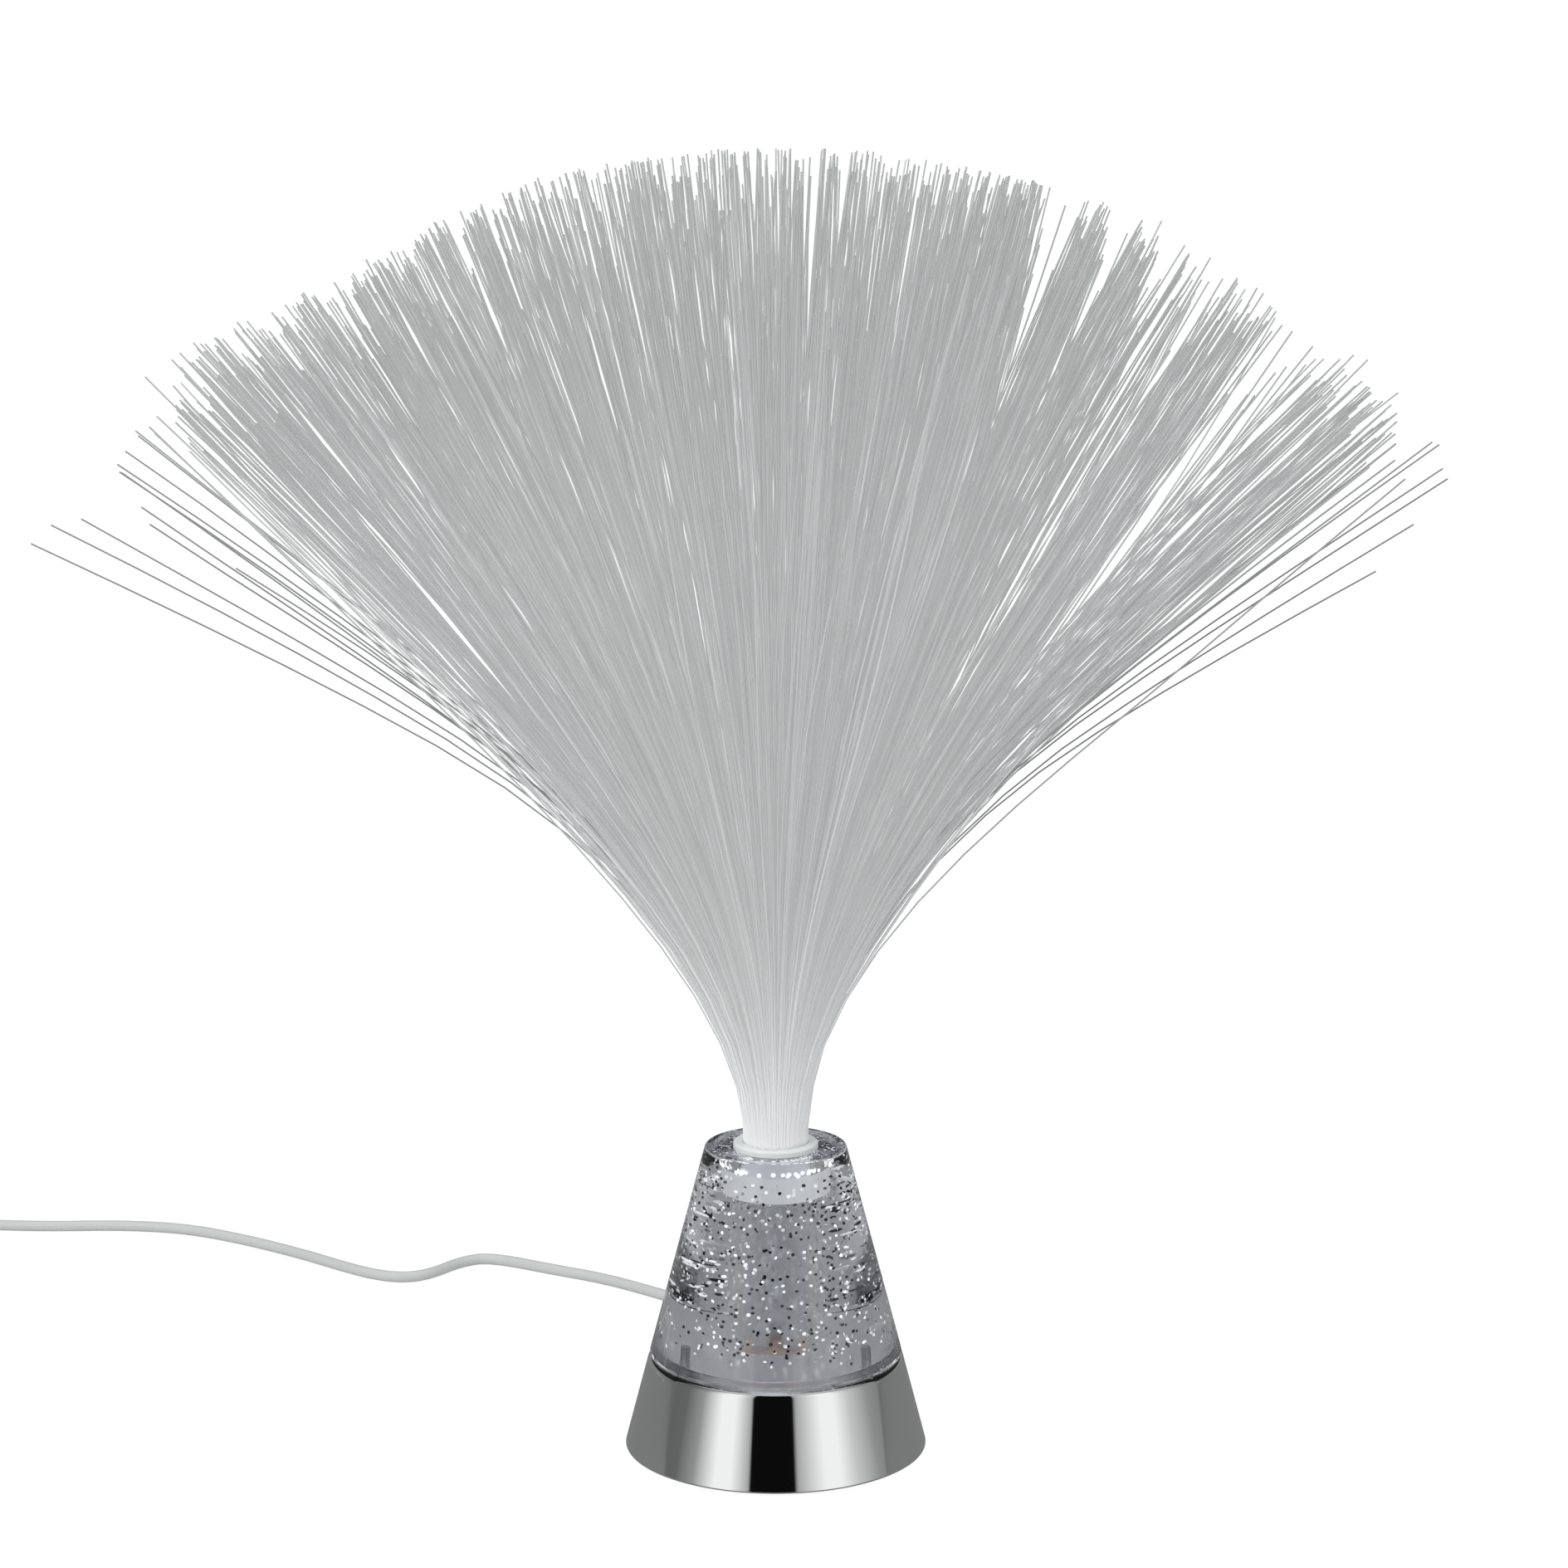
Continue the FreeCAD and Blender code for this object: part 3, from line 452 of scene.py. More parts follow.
chrome_finish = metal("mirror_plating", (0.83, 0.84, 0.84), 0.015, film=0.03)
steel_finish = metal("bright_screw_steel", (0.62, 0.62, 0.63), 0.22, film=0.1, depth=0.00001)
nickel_finish = metal("plug_nickel", (0.66, 0.65, 0.62), 0.2, film=0.12, depth=0.000005)
cone_screw_finish = metal("dull_cone_screws", (0.72, 0.72, 0.74), 0.45, film=0.1, depth=0.00001)
gold_finish = metal("contact_gold", (0.90, 0.66, 0.28), 0.18, film=0.1)
print("metals", len(bpy.data.materials) - made_before)

# %% [markdown]
# ## Finish of the flakes
# A flake is bright when it faces the light and dark when it doesn't, so real
# ones range from white to nearly black. Each flake keeps one number for that,
# its shade, and that light and shade is painted into its colour. Under a limit it
# is a dark mirror, over it a white scatterer with a painted glint: a little
# emission stands in for the light that flashes off it.

# %% Flake from its shade
flake_finish = Finish("silver_flake")
shade_dark, shade_bright = 0.38, 0.62
flake_shade = flake_finish.node("ShaderNodeAttribute", {"attribute_name": "shade"}, out="Fac")
# Painted light and shade: the shade sets each flake's colour from near black to white, as if it faced away
# from the light or towards it.
flake_finish.feed("Base Color", flake_finish.ramp(flake_shade, [
    (0.0, (0.02, 0.02, 0.023)), (shade_dark, (0.06, 0.06, 0.066)), (0.48, (0.42, 0.43, 0.45)),
    (shade_bright, (0.98, 0.98, 1.0)), (1.0, (1.0, 1.0, 1.0))]))
flake_finish.feed("Metallic", flake_finish.node("ShaderNodeMapRange", {"clamp": True}, {
    "Value": flake_shade, "From Min": shade_dark, "From Max": shade_bright, "To Min": 0.9, "To Max": 0.0}))
flake_finish.feed("Roughness", 0.15 + flake_shade * 0.2)
# Painted glint: the brightest flakes emit a little light, which stands in for light flashing off them.
flake_finish.feed("Emission Color", flake_finish.ramp(flake_shade, [
    (0.0, (0, 0, 0)), (shade_bright, (0, 0, 0)), (0.8, (0.3, 0.3, 0.31)), (1.0, (0.55, 0.55, 0.57))]))
flake_finish.feed("Emission Strength", 1.0)
print("flakes turn bright between", shade_dark, "and", shade_bright)

# %% [markdown]
# ## Clear acrylic
# The cone is cast acrylic. It has to bend light, so it is a Principled shader
# with full transmission. Its colour holds the faint blue violet that thick
# acrylic shows at its edges, and a very slow ripple stands for the casting.
# Its outside is polished, while the passage and the underside, where no tool
# polishes, are frosted: there the distance from the axis and the height raise
# the roughness, and what lies behind looks blurred.

# %% Acrylic, polished outside and frosted inside
acrylic_finish = Finish("clear_acrylic", Transmission_Weight=1.0, IOR=1.49)
ripple = acrylic_finish.noise(90.0, 1.0)
acrylic_finish.feed("Base Color", acrylic_finish.mix(ripple, (0.885, 0.90, 0.955), (0.935, 0.948, 0.985)))
here = acrylic_finish.node("ShaderNodeSeparateXYZ", sockets={
    "Vector": acrylic_finish.node("ShaderNodeTexCoord", out="Object")})
x, y, z = (Value(acrylic_finish.tree, output) for output in here.socket.node.outputs)


def below(value, limit, soft=0.0003):
    """1 where a value is under a limit, 0 where it is over it by more than soft."""
    return acrylic_finish.node("ShaderNodeMapRange", {"clamp": True}, {
        "Value": value, "From Min": limit, "From Max": limit + soft, "To Min": 1.0, "To Max": 0.0})


from_axis = (x * x + y * y) ** 0.5
passage_wall, passage_top = 0.0101, 0.0738
dish_rim, dish_top = 0.0326, 0.0311
polished, frosted = 0.004, 0.22
in_passage = below(from_axis, passage_wall)
under_cone = below(from_axis, dish_rim) * below(z, dish_top) * (1 - in_passage)
frost = in_passage * below(z, passage_top) + under_cone
acrylic_finish.feed("Roughness", polished + ripple * 0.01 + frost * frosted)
acrylic_finish.feed("Normal", acrylic_finish.bump(ripple, 0.25, 0.0002))
print("acrylic nodes", len(acrylic_finish.tree.nodes))

# %% [markdown]
# ## Lamp epoxy and collar
# The lamps are cast in hazy epoxy, half clear. The collar is a milky plastic:
# light enters it and comes out a few millimetres away, which is what
# subsurface scattering does, and a slow cloud keeps its white from being flat.

# %% Lamp epoxy and the milky collar
epoxy_finish = Finish("lamp_epoxy", Transmission_Weight=0.4, IOR=1.5)
haze = epoxy_finish.noise(700.0, 2.0)
epoxy_finish.feed("Base Color", epoxy_finish.mix(haze, (0.58, 0.58, 0.60), (0.72, 0.72, 0.74)))
epoxy_finish.feed("Roughness", 0.08 + haze * 0.08)

collar_finish = Finish("milky_collar", Subsurface_Weight=0.35, Subsurface_Radius=(0.003, 0.003, 0.003),
                       IOR=1.47)
cloud = collar_finish.noise(250.0, 2.0)
collar_finish.feed("Base Color", collar_finish.mix(cloud, (0.72, 0.74, 0.735), (0.81, 0.82, 0.815)))
collar_finish.feed("Roughness", 0.3 + cloud * 0.12)
collar_finish.feed("Normal", collar_finish.bump(cloud, 0.2, 0.00003))
print("collar nodes", len(collar_finish.tree.nodes))

# %% [markdown]
# ## The plated base
# The base is a hollow cone of one even slope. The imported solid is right, but its
# flats would break a mirror's reflection into steps, so the shell is turned
# again here with many more divisions, from the same sizes. The seat of the gland
# and the opening of the switch are then cut out of it.

# %% Sizes of base and cone, and the slope they share
base_low, base_high = 1.0, 28.3
cone_high = 90.6
low_radius, high_radius = 44.0, 20.37
slope = (low_radius - high_radius) / (cone_high - base_low)
print("wall leans", round(math.degrees(math.atan(slope)), 2), "degrees")


def slope_radius(level):
    """Radius of the outer surface at a height: a straight line between the two ends."""
    return low_radius - slope * (level - base_low)


# %% Base shell
base = turned("base_skin", [
    (slope_radius(base_low) - 2.0, base_low, 0.2),
    (slope_radius(base_low) - 0.1, base_low, 0.5),
    (slope_radius(base_high) - 0.02, base_high, 1.6),
    (7.0, base_high),
    (7.0, base_high - 2.4),
    (slope_radius(base_high) - 2.0 + slope * 2.4, base_high - 2.4, 0.6),
], around=256)
print("base shell without its openings has", len(base.data.polygons), "faces")

# %% Two rods along the gland's line: one cuts its flat seat, one its hole
gland_level = 8.8
rearward = Matrix.Rotation(-math.pi / 2, 4, "X")


def rod(name, radius, behind, length=30):
    """Round rod that points to the rear from a distance behind the axis, at the gland's height."""
    return turned(name, [(radius, 0), (radius, length), (0, length), (0, 0)], 64,
                  Matrix.Translation((0, behind * MM, gland_level * MM)) @ rearward)


seat_radius, hole_radius = 4.7, 3.1
gland_seat = rod("gland_seat", seat_radius, 40.603)
gland_bore = rod("gland_bore", hole_radius, 30)
print("gland seat", 2 * seat_radius, "mm across, its hole", 2 * hole_radius, "mm")

# %% The switch's own axes, square to the sloping wall
switch_turn = math.radians(60.0)
switch_level = 14.5
outward = Vector((math.cos(switch_turn), math.sin(switch_turn), 0))
wall_lean = math.atan(slope)
switch_normal = outward * math.cos(wall_lean) + Vector((0, 0, 1)) * math.sin(wall_lean)
switch_across = Vector((-math.sin(switch_turn), math.cos(switch_turn), 0))
switch_up = switch_normal.cross(switch_across)
switch_spot = outward * slope_radius(switch_level) * MM + Vector((0, 0, switch_level * MM))
pad_depth = 0.4
switch_place = Matrix.Translation(switch_spot - switch_normal * pad_depth * MM) @ Matrix(
    (switch_across, switch_up, switch_normal)).transposed().to_4x4()
print("switch stands at", [round(value, 4) for value in switch_spot])

# %% Cut the gland's and the switch's openings

def brick(name, width, height, low, high, place):
    """Block from low to high on Z, centred on X and Y, as the eight corners of a 2 by 2 by 2 grid."""
    side = np.array([-0.5, 0.5])
    x, y, z = np.meshgrid(side * width, side * height, [low, high], indexing="ij")
    points = np.stack([x, y, z], axis=-1).reshape(-1, 3) * MM
    faces = [(0, 1, 3, 2), (4, 6, 7, 5), (0, 4, 5, 1), (2, 3, 7, 6), (0, 2, 6, 4), (1, 5, 7, 3)]
    return make_piece(name, finish_place(points, place), faces)


switch_pad = brick("switch_pad", 11.7, 15.5, 0.0, 4.0, switch_place)
switch_hole = brick("switch_hole", 9.7, 13.5, -6.0, 4.0, switch_place)
cut(base, gland_seat, gland_bore, switch_pad, switch_hole)
base.data.set_sharp_from_angle(angle=math.radians(35))
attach(base, "base")
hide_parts("base_shell")
dress(chrome_finish, base)
print("base shell with its openings has", len(base.data.polygons), "faces")

# %% [markdown]
# ## The clear cone
# The cone is one casting with a rim and a shallow recess on top, a bore for the
# collar, a passage for light below it that widens over the lamps, and a dished
# underside, so that only an outer ring rests on the base. Light bends at every
# one of those walls, so all of them are in the profile.

# %% Clear cone
foot_level = base_high + 0.02
bore_radius, bore_floor = 10.6, 74.5
passage_high, passage_low, passage_foot = 8.6, 10.0, 30.9
cone = turned("clear_cone", [
    (slope_radius(base_high) - 0.02, foot_level, 0.7),
    (slope_radius(cone_high), cone_high, 0.8),
    (high_radius - 2.3, cone_high, 0.4),
    (high_radius - 2.6, 89.8, 0.3),
    (bore_radius, 89.8),
    (bore_radius, bore_floor, 0.6),
    (passage_high, bore_floor, 0.6),
    (passage_low, passage_foot, 0.4),
    (31.0, 29.8, 0.5),
    (33.0, foot_level, 0.2),
], around=256)
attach(cone, "base")
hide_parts("glitter_cone")
dress(acrylic_finish, cone)
print("cone faces", len(cone.data.polygons))

# %% [markdown]
# ## Silver flakes
# Thin six-sided flakes, about a millimetre across, hang in the acrylic, most of
# them turned outwards by the pour, so each flashes or goes dark by itself. They
# are small prisms, placed by a seeded draw: none in the foot and the rim, and
# one row of them close round the bore, just above the sleeve's wide part.

# %% Draw the flakes' places
draw = np.random.default_rng(7)


def flake_places(count):
    """Heights denser to the foot, where the cone is wide; radii evenly over the ring between the walls."""
    lowest, highest = 33.5, 83.5
    level = lowest + (highest - lowest) * draw.random(count) ** 1.2
    passage = np.interp(level, [passage_foot, bore_floor], [passage_low, passage_high])
    keep_out = np.where(level < bore_floor - 1, passage + 0.9, bore_radius + 0.9)
    outside = slope_radius(level) - 1.0
    radius = np.sqrt(keep_out ** 2 + (outside ** 2 - keep_out ** 2) * draw.random(count))
    angle = 2 * np.pi * draw.random(count)
    return np.stack([radius * np.cos(angle), radius * np.sin(angle), level], axis=-1)


scattered, settled = 1500, 54
row_angle = 2 * np.pi * draw.random(settled)
row_radius = draw.uniform(10.9, 11.3, settled)
row = np.stack([row_radius * np.cos(row_angle), row_radius * np.sin(row_angle),
                draw.uniform(83.9, 84.9, settled)], axis=-1)
flake_spots = np.vstack([flake_places(scattered), row])
flake_count = len(flake_spots)
print("flakes", flake_count, "up to a height of", flake_spots[:, 2].max().round(1))

# %% Build all flakes as one mesh
outwards = flake_spots * [1, 1, 0]
outwards /= np.linalg.norm(outwards, axis=1)[:, None]
axis = outwards + draw.normal(size=(flake_count, 3)) * 0.5
axis[-settled:] = outwards[-settled:] + axis[-settled:] * 0.2
axis /= np.linalg.norm(axis, axis=1)[:, None]
helper = np.where(np.abs(axis[:, 2:]) < 0.9, np.array([0, 0, 1.0]), np.array([1.0, 0, 0]))
side = np.cross(axis, helper)
side /= np.linalg.norm(side, axis=1)[:, None]
other = np.cross(axis, side)
corner = np.linspace(0, 2 * np.pi, 6, endpoint=False)
flake_radius = draw.uniform(0.42, 0.56, flake_count)[:, None, None]
larger = 0.12
flake_radius[-settled:] += larger
corner_cosine, corner_sine = np.cos(corner)[None, :, None], np.sin(corner)[None, :, None]
rim = flake_radius * (corner_cosine * side[:, None] + corner_sine * other[:, None])
thickness = 0.02
low_ring = flake_spots[:, None] + rim - axis[:, None] * thickness
high_ring = flake_spots[:, None] + rim + axis[:, None] * thickness
flake_points = np.concatenate([low_ring, high_ring], axis=1).reshape(-1, 3) * MM
flake_pattern = [(5, 4, 3, 2, 1, 0), (6, 7, 8, 9, 10, 11)]
flake_pattern += [(i, (i + 1) % 6, (i + 1) % 6 + 6, i + 6) for i in range(6)]
flake_faces = [tuple(12 * index + spot for spot in face)
               for index in range(flake_count) for face in flake_pattern]
flakes = make_piece("silver_flakes", flake_points, flake_faces, crease=20.0)
shade = flakes.data.attributes.new("shade", "FLOAT", "POINT")
# Painted light: the settled row gets shades of 0.8 to 0.95, so those flakes are painted bright and carry the
# painted glint.
shade.data.foreach_set("value", np.repeat(np.append(
    draw.random(flake_count - settled), draw.uniform(0.8, 0.95, settled)), 12).astype(np.float32))
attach(flakes, "base")
dress(flake_finish, flakes)
print("flake faces", len(flakes.data.polygons))

# %% [markdown]
# ## The collar
# A milky white sleeve with a flange sits in the bore and holds the bundle. Its
# edges are softly rounded, as moulded parts are.

# %% Collar
collar = turned("fibre_collar", [
    (9.5, 75.8, 0.1),
    (10.62, 75.8, 0.2),
    (10.62, 83.3, 0.1),
    (10.45, 83.6, 0.1),
    (10.45, 89.81),
    (12.27, 89.81, 0.2),
    (12.27, 91.7, 0.75),
    (9.5, 91.7, 0.35),
], around=128)
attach(collar, "fibre_head")
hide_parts("fibre_ferrule")
dress(collar_finish, collar)
print("collar faces", len(collar.data.polygons))

# %% [markdown]
# ## The fibre spray
# Over a thousand half-millimetre fibres leave the collar upright, packed side by
# side, and then lean outwards. Two thousand are drawn here, because thin tubes
# need that many to cover the fan as evenly. The lean of one fibre grows along
# its length as lean(s) = tip lean * (1 - exp(-s / bend)), so it curves near the
# collar and runs almost straight after that. A fibre's place in the bundle
# decides how far it leans. Neighbours cling together into tufts that grow apart
# towards the tips, and a few strays stand out to both sides. The cut ends leave
# an even rim in the middle and a ragged one at the sides.

# %% Choose each fibre's place in the bundle and its lean
fibre_count = 2100
fibre_radius = 0.245
bundle_radius = 9.2
free_length = 278.5
number = np.arange(fibre_count)
share = np.sqrt((number + 0.5) / fibre_count)
azimuth = number * np.pi * (3 - np.sqrt(5))
root = bundle_radius * share[:, None] * np.stack([np.cos(azimuth), np.sin(azimuth)], axis=-1)

# Tip lean in degrees, sideways and to the rear; the spray is wider than it is deep
main_lean = 47.5
depth_lean = 0.78
lean = main_lean * share[:, None] * np.stack([np.cos(azimuth), depth_lean * np.sin(azimuth)], axis=-1)
lean *= 1 - 0.03 * share[:, None] ** 4
scatter, to_the_left = 1.0, 1.6
lean += draw.normal(size=lean.shape) * scatter
lean[:, 0] -= to_the_left

# The right side is thinner: a share of its fibres lean less and join the middle
thin_beyond, thin_share, thin_lean = 22, 0.36, 0.55
thinned = (lean[:, 0] > thin_beyond) & (draw.random(fibre_count) < thin_share)
lean[thinned] *= thin_lean
bend = 52.0 - 9 * share ** 4 + draw.normal(size=fibre_count) * 4.0
print("fibres", fibre_count, "moved inwards", int(thinned.sum()))

# %% Pull neighbours together into tufts
tuft_count = 150
tuft_share = np.sqrt(draw.random(tuft_count))
tuft_angle = 2 * np.pi * draw.random(tuft_count)
tuft_lean = main_lean * tuft_share[:, None] * np.stack(
    [np.cos(tuft_angle), depth_lean * np.sin(tuft_angle)], axis=-1)
nearest = np.argmin(((lean[:, None] - tuft_lean[None]) ** 2).sum(-1), axis=1)
pull = 0.15 + 0.45 * draw.random(tuft_count)[nearest] * np.clip(np.abs(lean[:, 0]) / 30, 0.4, 1)
in_a_tuft = 0.85
pull *= draw.random(fibre_count) < in_a_tuft
tip_lean = lean + (tuft_lean[nearest] - lean) * pull[:, None]
print("tufts", tuft_count, "mean pull", round(float(pull.mean()), 2))

# %% Lengths: even in the middle, more uneven from tuft to tuft at the sides
side_share = np.clip((np.abs(tip_lean[:, 0]) - 15) / 20, 0, 1)
length = free_length - np.abs(draw.normal(size=fibre_count)) * (0.8 + 4 * side_share)
length -= draw.random(tuft_count)[nearest] * (1.2 + 9 * side_share)
short_share, tall_count, longer_behind = 0.05, 10, 0.03
short = draw.random(fibre_count) < short_share
length[short] -= draw.uniform(4, 26, short.sum())
length *= 1 + longer_behind * np.clip(tip_lean[:, 1] / 12, 0, 1)
tall = draw.choice(fibre_count, tall_count, replace=False)
length[tall] = free_length + draw.uniform(0, 2.5, tall_count)
print("fibre lengths", length.min().round(1), "to", length.max().round(1))

# %% Two partings on the right, and the strays
first_parting, second_parting, right_edge = 20.0, 34.0, 48.0
beyond = tip_lean[:, 0] > second_parting
edge = (tip_lean[:, 0] > second_parting - 7) & ~beyond
lean_before = [-60, first_parting, first_parting + 0.01, second_parting, second_parting + 0.01, right_edge]
lean_after = [-60, first_parting, first_parting + 1, second_parting + 3.5, second_parting + 8.3, 53.5]
tip_lean[:, 0] = np.interp(tip_lean[:, 0], lean_before, lean_after)
bend[beyond] += 6.0
bend[edge] -= 8.0
stray_list = [
    (-65, 0, 1), (-62.8, -2, 3), (-61.2, 2, 8), (-58, 6, 50), (-57, 0, 20), (-56.5, -10, 24), (-56, 4, 6),
    (-55, 12, 2), (-54.5, -4, 10), (-53.5, 9, 3), (-53, -12, 8), (-52, 2, 4), (61, -4, 38), (59.6, 3, 21),
    (57, 5, 4), (56, -8, 6), (54.5, 0, 2), (53.5, 8, 8), (52.5, -5, 3)]
strays = np.argsort(-np.abs(lean[:, 0]))
left = [index for index in strays if lean[index, 0] < 0]
right = [index for index in strays if lean[index, 0] > 0]
straight = []
stray_bend = 58.0
for sideways, backwards, shorter in stray_list:
    index = left.pop(0) if sideways < 0 else right.pop(0)
    straight.append(index)
    tip_lean[index] = sideways, backwards
    bend[index] = stray_bend
    length[index] = free_length - shorter
print("strays", len(straight))

# %% Small kinks, in degrees, fewer in the strays
sway_size, stray_sway = 1.5, 0.3
sway = draw.normal(size=(fibre_count, 2)) * sway_size
sway[straight] *= stray_sway
sway_phase = draw.uniform(0, 2 * np.pi, fibre_count)
print("largest kink", np.abs(sway).max().round(1), "degrees")

# %% Walk along every fibre at once
stations = 15
inside_collar = 3.0
along = np.linspace(0, 1, stations) ** 1.35
arc = -inside_collar + along[None] * (length[:, None] + inside_collar)
middle_arc = np.maximum((arc[:, 1:] + arc[:, :-1]) / 2, 0)
grow = 1 - np.exp(-middle_arc / bend[:, None])
wave = np.sin(middle_arc / 45.0 + sway_phase[:, None]) * (1 - np.exp(-middle_arc / 30.0))
start_lean = lean * 0.9
blend_out = np.clip(middle_arc / 150.0, 0, 1)[..., None]
lean_here = (start_lean[:, None] * (1 - blend_out) + tip_lean[:, None] * blend_out) * grow[..., None]
lean_here += sway[:, None] * wave[..., None]
size = np.maximum(np.linalg.norm(lean_here, axis=-1, keepdims=True), 1e-6)
tilt = np.radians(size)
heading = np.concatenate([np.sin(tilt) * lean_here / size, np.cos(tilt)], axis=-1)
steps = heading * np.diff(arc, axis=1)[..., None]
start = np.concatenate([root, np.full((fibre_count, 1), 91.7 - inside_collar)], axis=1)
lines = np.concatenate([start[:, None], start[:, None] + np.cumsum(steps, axis=1)], axis=1)
print("lines", len(lines), "of", stations, "points")

# %% Narrow gaps between tufts, wedges that open towards the rim
gap_count = 44
gap_at = draw.uniform(-46, 44, gap_count)
gap_half = draw.uniform(0.08, 0.28, gap_count)
gap_reach = draw.uniform(25, 80, gap_count)
gap_at[:5] = (17.8, 20.6, 34.2, 23.6, -19.5)
gap_half[:5] = (1.1, 0.9, 1.3, 0.7, 0.6)
gap_reach[:5] = (95, 85, 170, 75, 70)
apex_level = 97.0
risen = (lines[:, -1, 2] - apex_level) * math.cos(camera_tilt) + lines[:, -1, 1] * math.sin(camera_tilt)
seen_at = np.degrees(np.arctan2(lines[:, -1, 0], risen))
away = seen_at[:, None] - gap_at[None]
push = np.sign(away) * gap_half * np.clip(1 - np.abs(away) / (6 * gap_half), 0, 1)
push[draw.random(fibre_count) < 0.07] = 0
opening = np.clip(1 - (length[:, None, None] - arc[..., None]) / gap_reach, 0, 1) ** 1.3
turn = np.radians((push[:, None] * opening).sum(axis=-1))
across, above = lines[..., 0].copy(), lines[..., 2] - apex_level
lines[..., 0] = across * np.cos(turn) + above * np.sin(turn)
lines[..., 2] = apex_level + above * np.cos(turn) - across * np.sin(turn)
print("highest tip", lines[..., 2].max().round(1))
print("tips sideways", lines[..., 0].min().round(1), "to", lines[..., 0].max().round(1))


# %% Give every line a round section
def tubes(name, lines, radius, sides, values):
    """Thin tubes along many lines.

    Each point is line + radius (cos a * side + sin a * rise), where side is level and rise is
    tangent x side. values are attributes given per line and station.
    """
    count, many = lines.shape[:2]
    tangent = np.gradient(lines, axis=1)
    tangent /= np.linalg.norm(tangent, axis=-1, keepdims=True)
    across = lines[:, -1] - lines[:, 0]
    level = np.stack([-across[:, 1], across[:, 0], np.full(count, 1e-9)], axis=-1)
    level /= np.linalg.norm(level, axis=-1, keepdims=True)
    side = level[:, None] - tangent * (level[:, None] * tangent).sum(-1, keepdims=True)
    side /= np.linalg.norm(side, axis=-1, keepdims=True)
    rise = np.cross(tangent, side)
    angle = np.linspace(0, 2 * np.pi, sides, endpoint=False)
    ring = np.cos(angle)[:, None] * side[:, :, None] + np.sin(angle)[:, None] * rise[:, :, None]
    points = (lines[:, :, None] + radius * ring).reshape(-1, 3)
    quads = np.array(grid_faces(many, sides, False, True))
    each = many * sides
    faces = (quads[None] + each * np.arange(count)[:, None, None]).reshape(-1, 4).tolist()
    root_cap = np.arange(sides)[::-1]
    tip_cap = np.arange(each - sides, each)
    for cap in (root_cap, tip_cap):
        faces += (cap[None] + each * np.arange(count)[:, None]).tolist()
    made = make_piece(name, points * MM, faces, crease=60.0)
    for key, numbers in values.items():
        store = made.data.attributes.new(key, "FLOAT", "POINT")
        store.data.foreach_set("value", np.repeat(numbers.reshape(-1), sides).astype(np.float32))
    return made


# %% What changes along and between fibres
shade_of = draw.normal(size=fibre_count) * 0.5
bright = draw.random(fibre_count) < 0.1
shade_of[bright] += 1.6
alone = np.clip((np.linalg.norm(tip_lean / [1, depth_lean], axis=1) - 48) / 8, 0, 1)
values = {
    # Painted light: fibres are white near the collar, where light gathers, and fade to mid grey further up.
    "glow": 0.77 * np.exp(-np.maximum(arc, 0) / 25.0) + 0.23 * np.exp(-np.maximum(arc, 0) / 120.0),
    "shade": np.repeat(shade_of[:, None], stations, axis=1),
    # Painted shade: fibres that stand alone get darker further up.
    "alone": alone[:, None] * np.clip(arc / 120, 0, 1),
    # Painted shade: darker towards each fibre's end.
    "tip": np.clip((arc - length[:, None] + 70) / 70, 0, 1),
}
print("fibres that stand alone", int((alone > 0.5).sum()))

# %% [markdown]
# The fibres are clear plastic, but a thousand of them together read as a pale
# grey silk: white where light gathers in the collar, mid grey further up, and
# darker where one stands alone against the light background and at the ends.
# That light and shade is painted into the colour: it is stored along each fibre
# as attributes, and the finish mixes its colour by them.

# %% Finish of the fibres
fibre_finish = Finish("clear_fibre", IOR=1.45, Specular_IOR_Level=0.6)
glow = fibre_finish.node("ShaderNodeAttribute", {"attribute_name": "glow"}, out="Fac")
tone = fibre_finish.node("ShaderNodeAttribute", {"attribute_name": "shade"}, out="Fac")
lonely = fibre_finish.node("ShaderNodeAttribute", {"attribute_name": "alone"}, out="Fac")
tip = fibre_finish.node("ShaderNodeAttribute", {"attribute_name": "tip"}, out="Fac")
body = fibre_finish.ramp(tone * 0.25 + 0.4, [
    (0.0, (0.40, 0.401, 0.40)), (0.45, (0.485, 0.487, 0.485)), (0.75, (0.58, 0.582, 0.58)),
    (1.0, (0.70, 0.702, 0.70))])
# Painted shade: fibres that stand alone turn dark grey.
painted_shade_alone = fibre_finish.mix(lonely * 0.9, body, (0.14, 0.142, 0.14))
# Painted shade: the last part of each fibre darkens towards its end.
painted_shade_tips = fibre_finish.mix(tip * 0.45, painted_shade_alone, (0.30, 0.303, 0.30))
# Painted light: near the collar the colour turns white, where light gathers in the bundle.
fibre_finish.feed("Base Color", fibre_finish.mix(glow, painted_shade_tips, (0.90, 0.903, 0.90)))
fibre_finish.feed("Roughness", 0.42 - tone * 0.05)
print("fibre finish nodes", len(fibre_finish.tree.nodes))

# %% Three pieces, from the middle of the bundle outwards
third = fibre_count // 3
spray = []
for place, node in enumerate(("fibres_inner", "fibres_middle", "fibres_outer")):
    part = slice(place * third, (place + 1) * third)
    piece = tubes("spray_" + node.split("_")[1], lines[part], fibre_radius, 5,
                  {key: numbers[part] for key, numbers in values.items()})
    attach(piece, "fibre_head")
    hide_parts(node)
    dress(fibre_finish, piece)
    piece.visible_diffuse = False
    spray.append(piece)
print("fibre triangles", sum(len(piece.data.polygons) for piece in spray) * 2)

# %% [markdown]
# ## Bundle root
# Inside the collar the fibres are glued and cut flat. From below one sees a
# disc of round fibre ends, so its colour is a fine cell pattern.

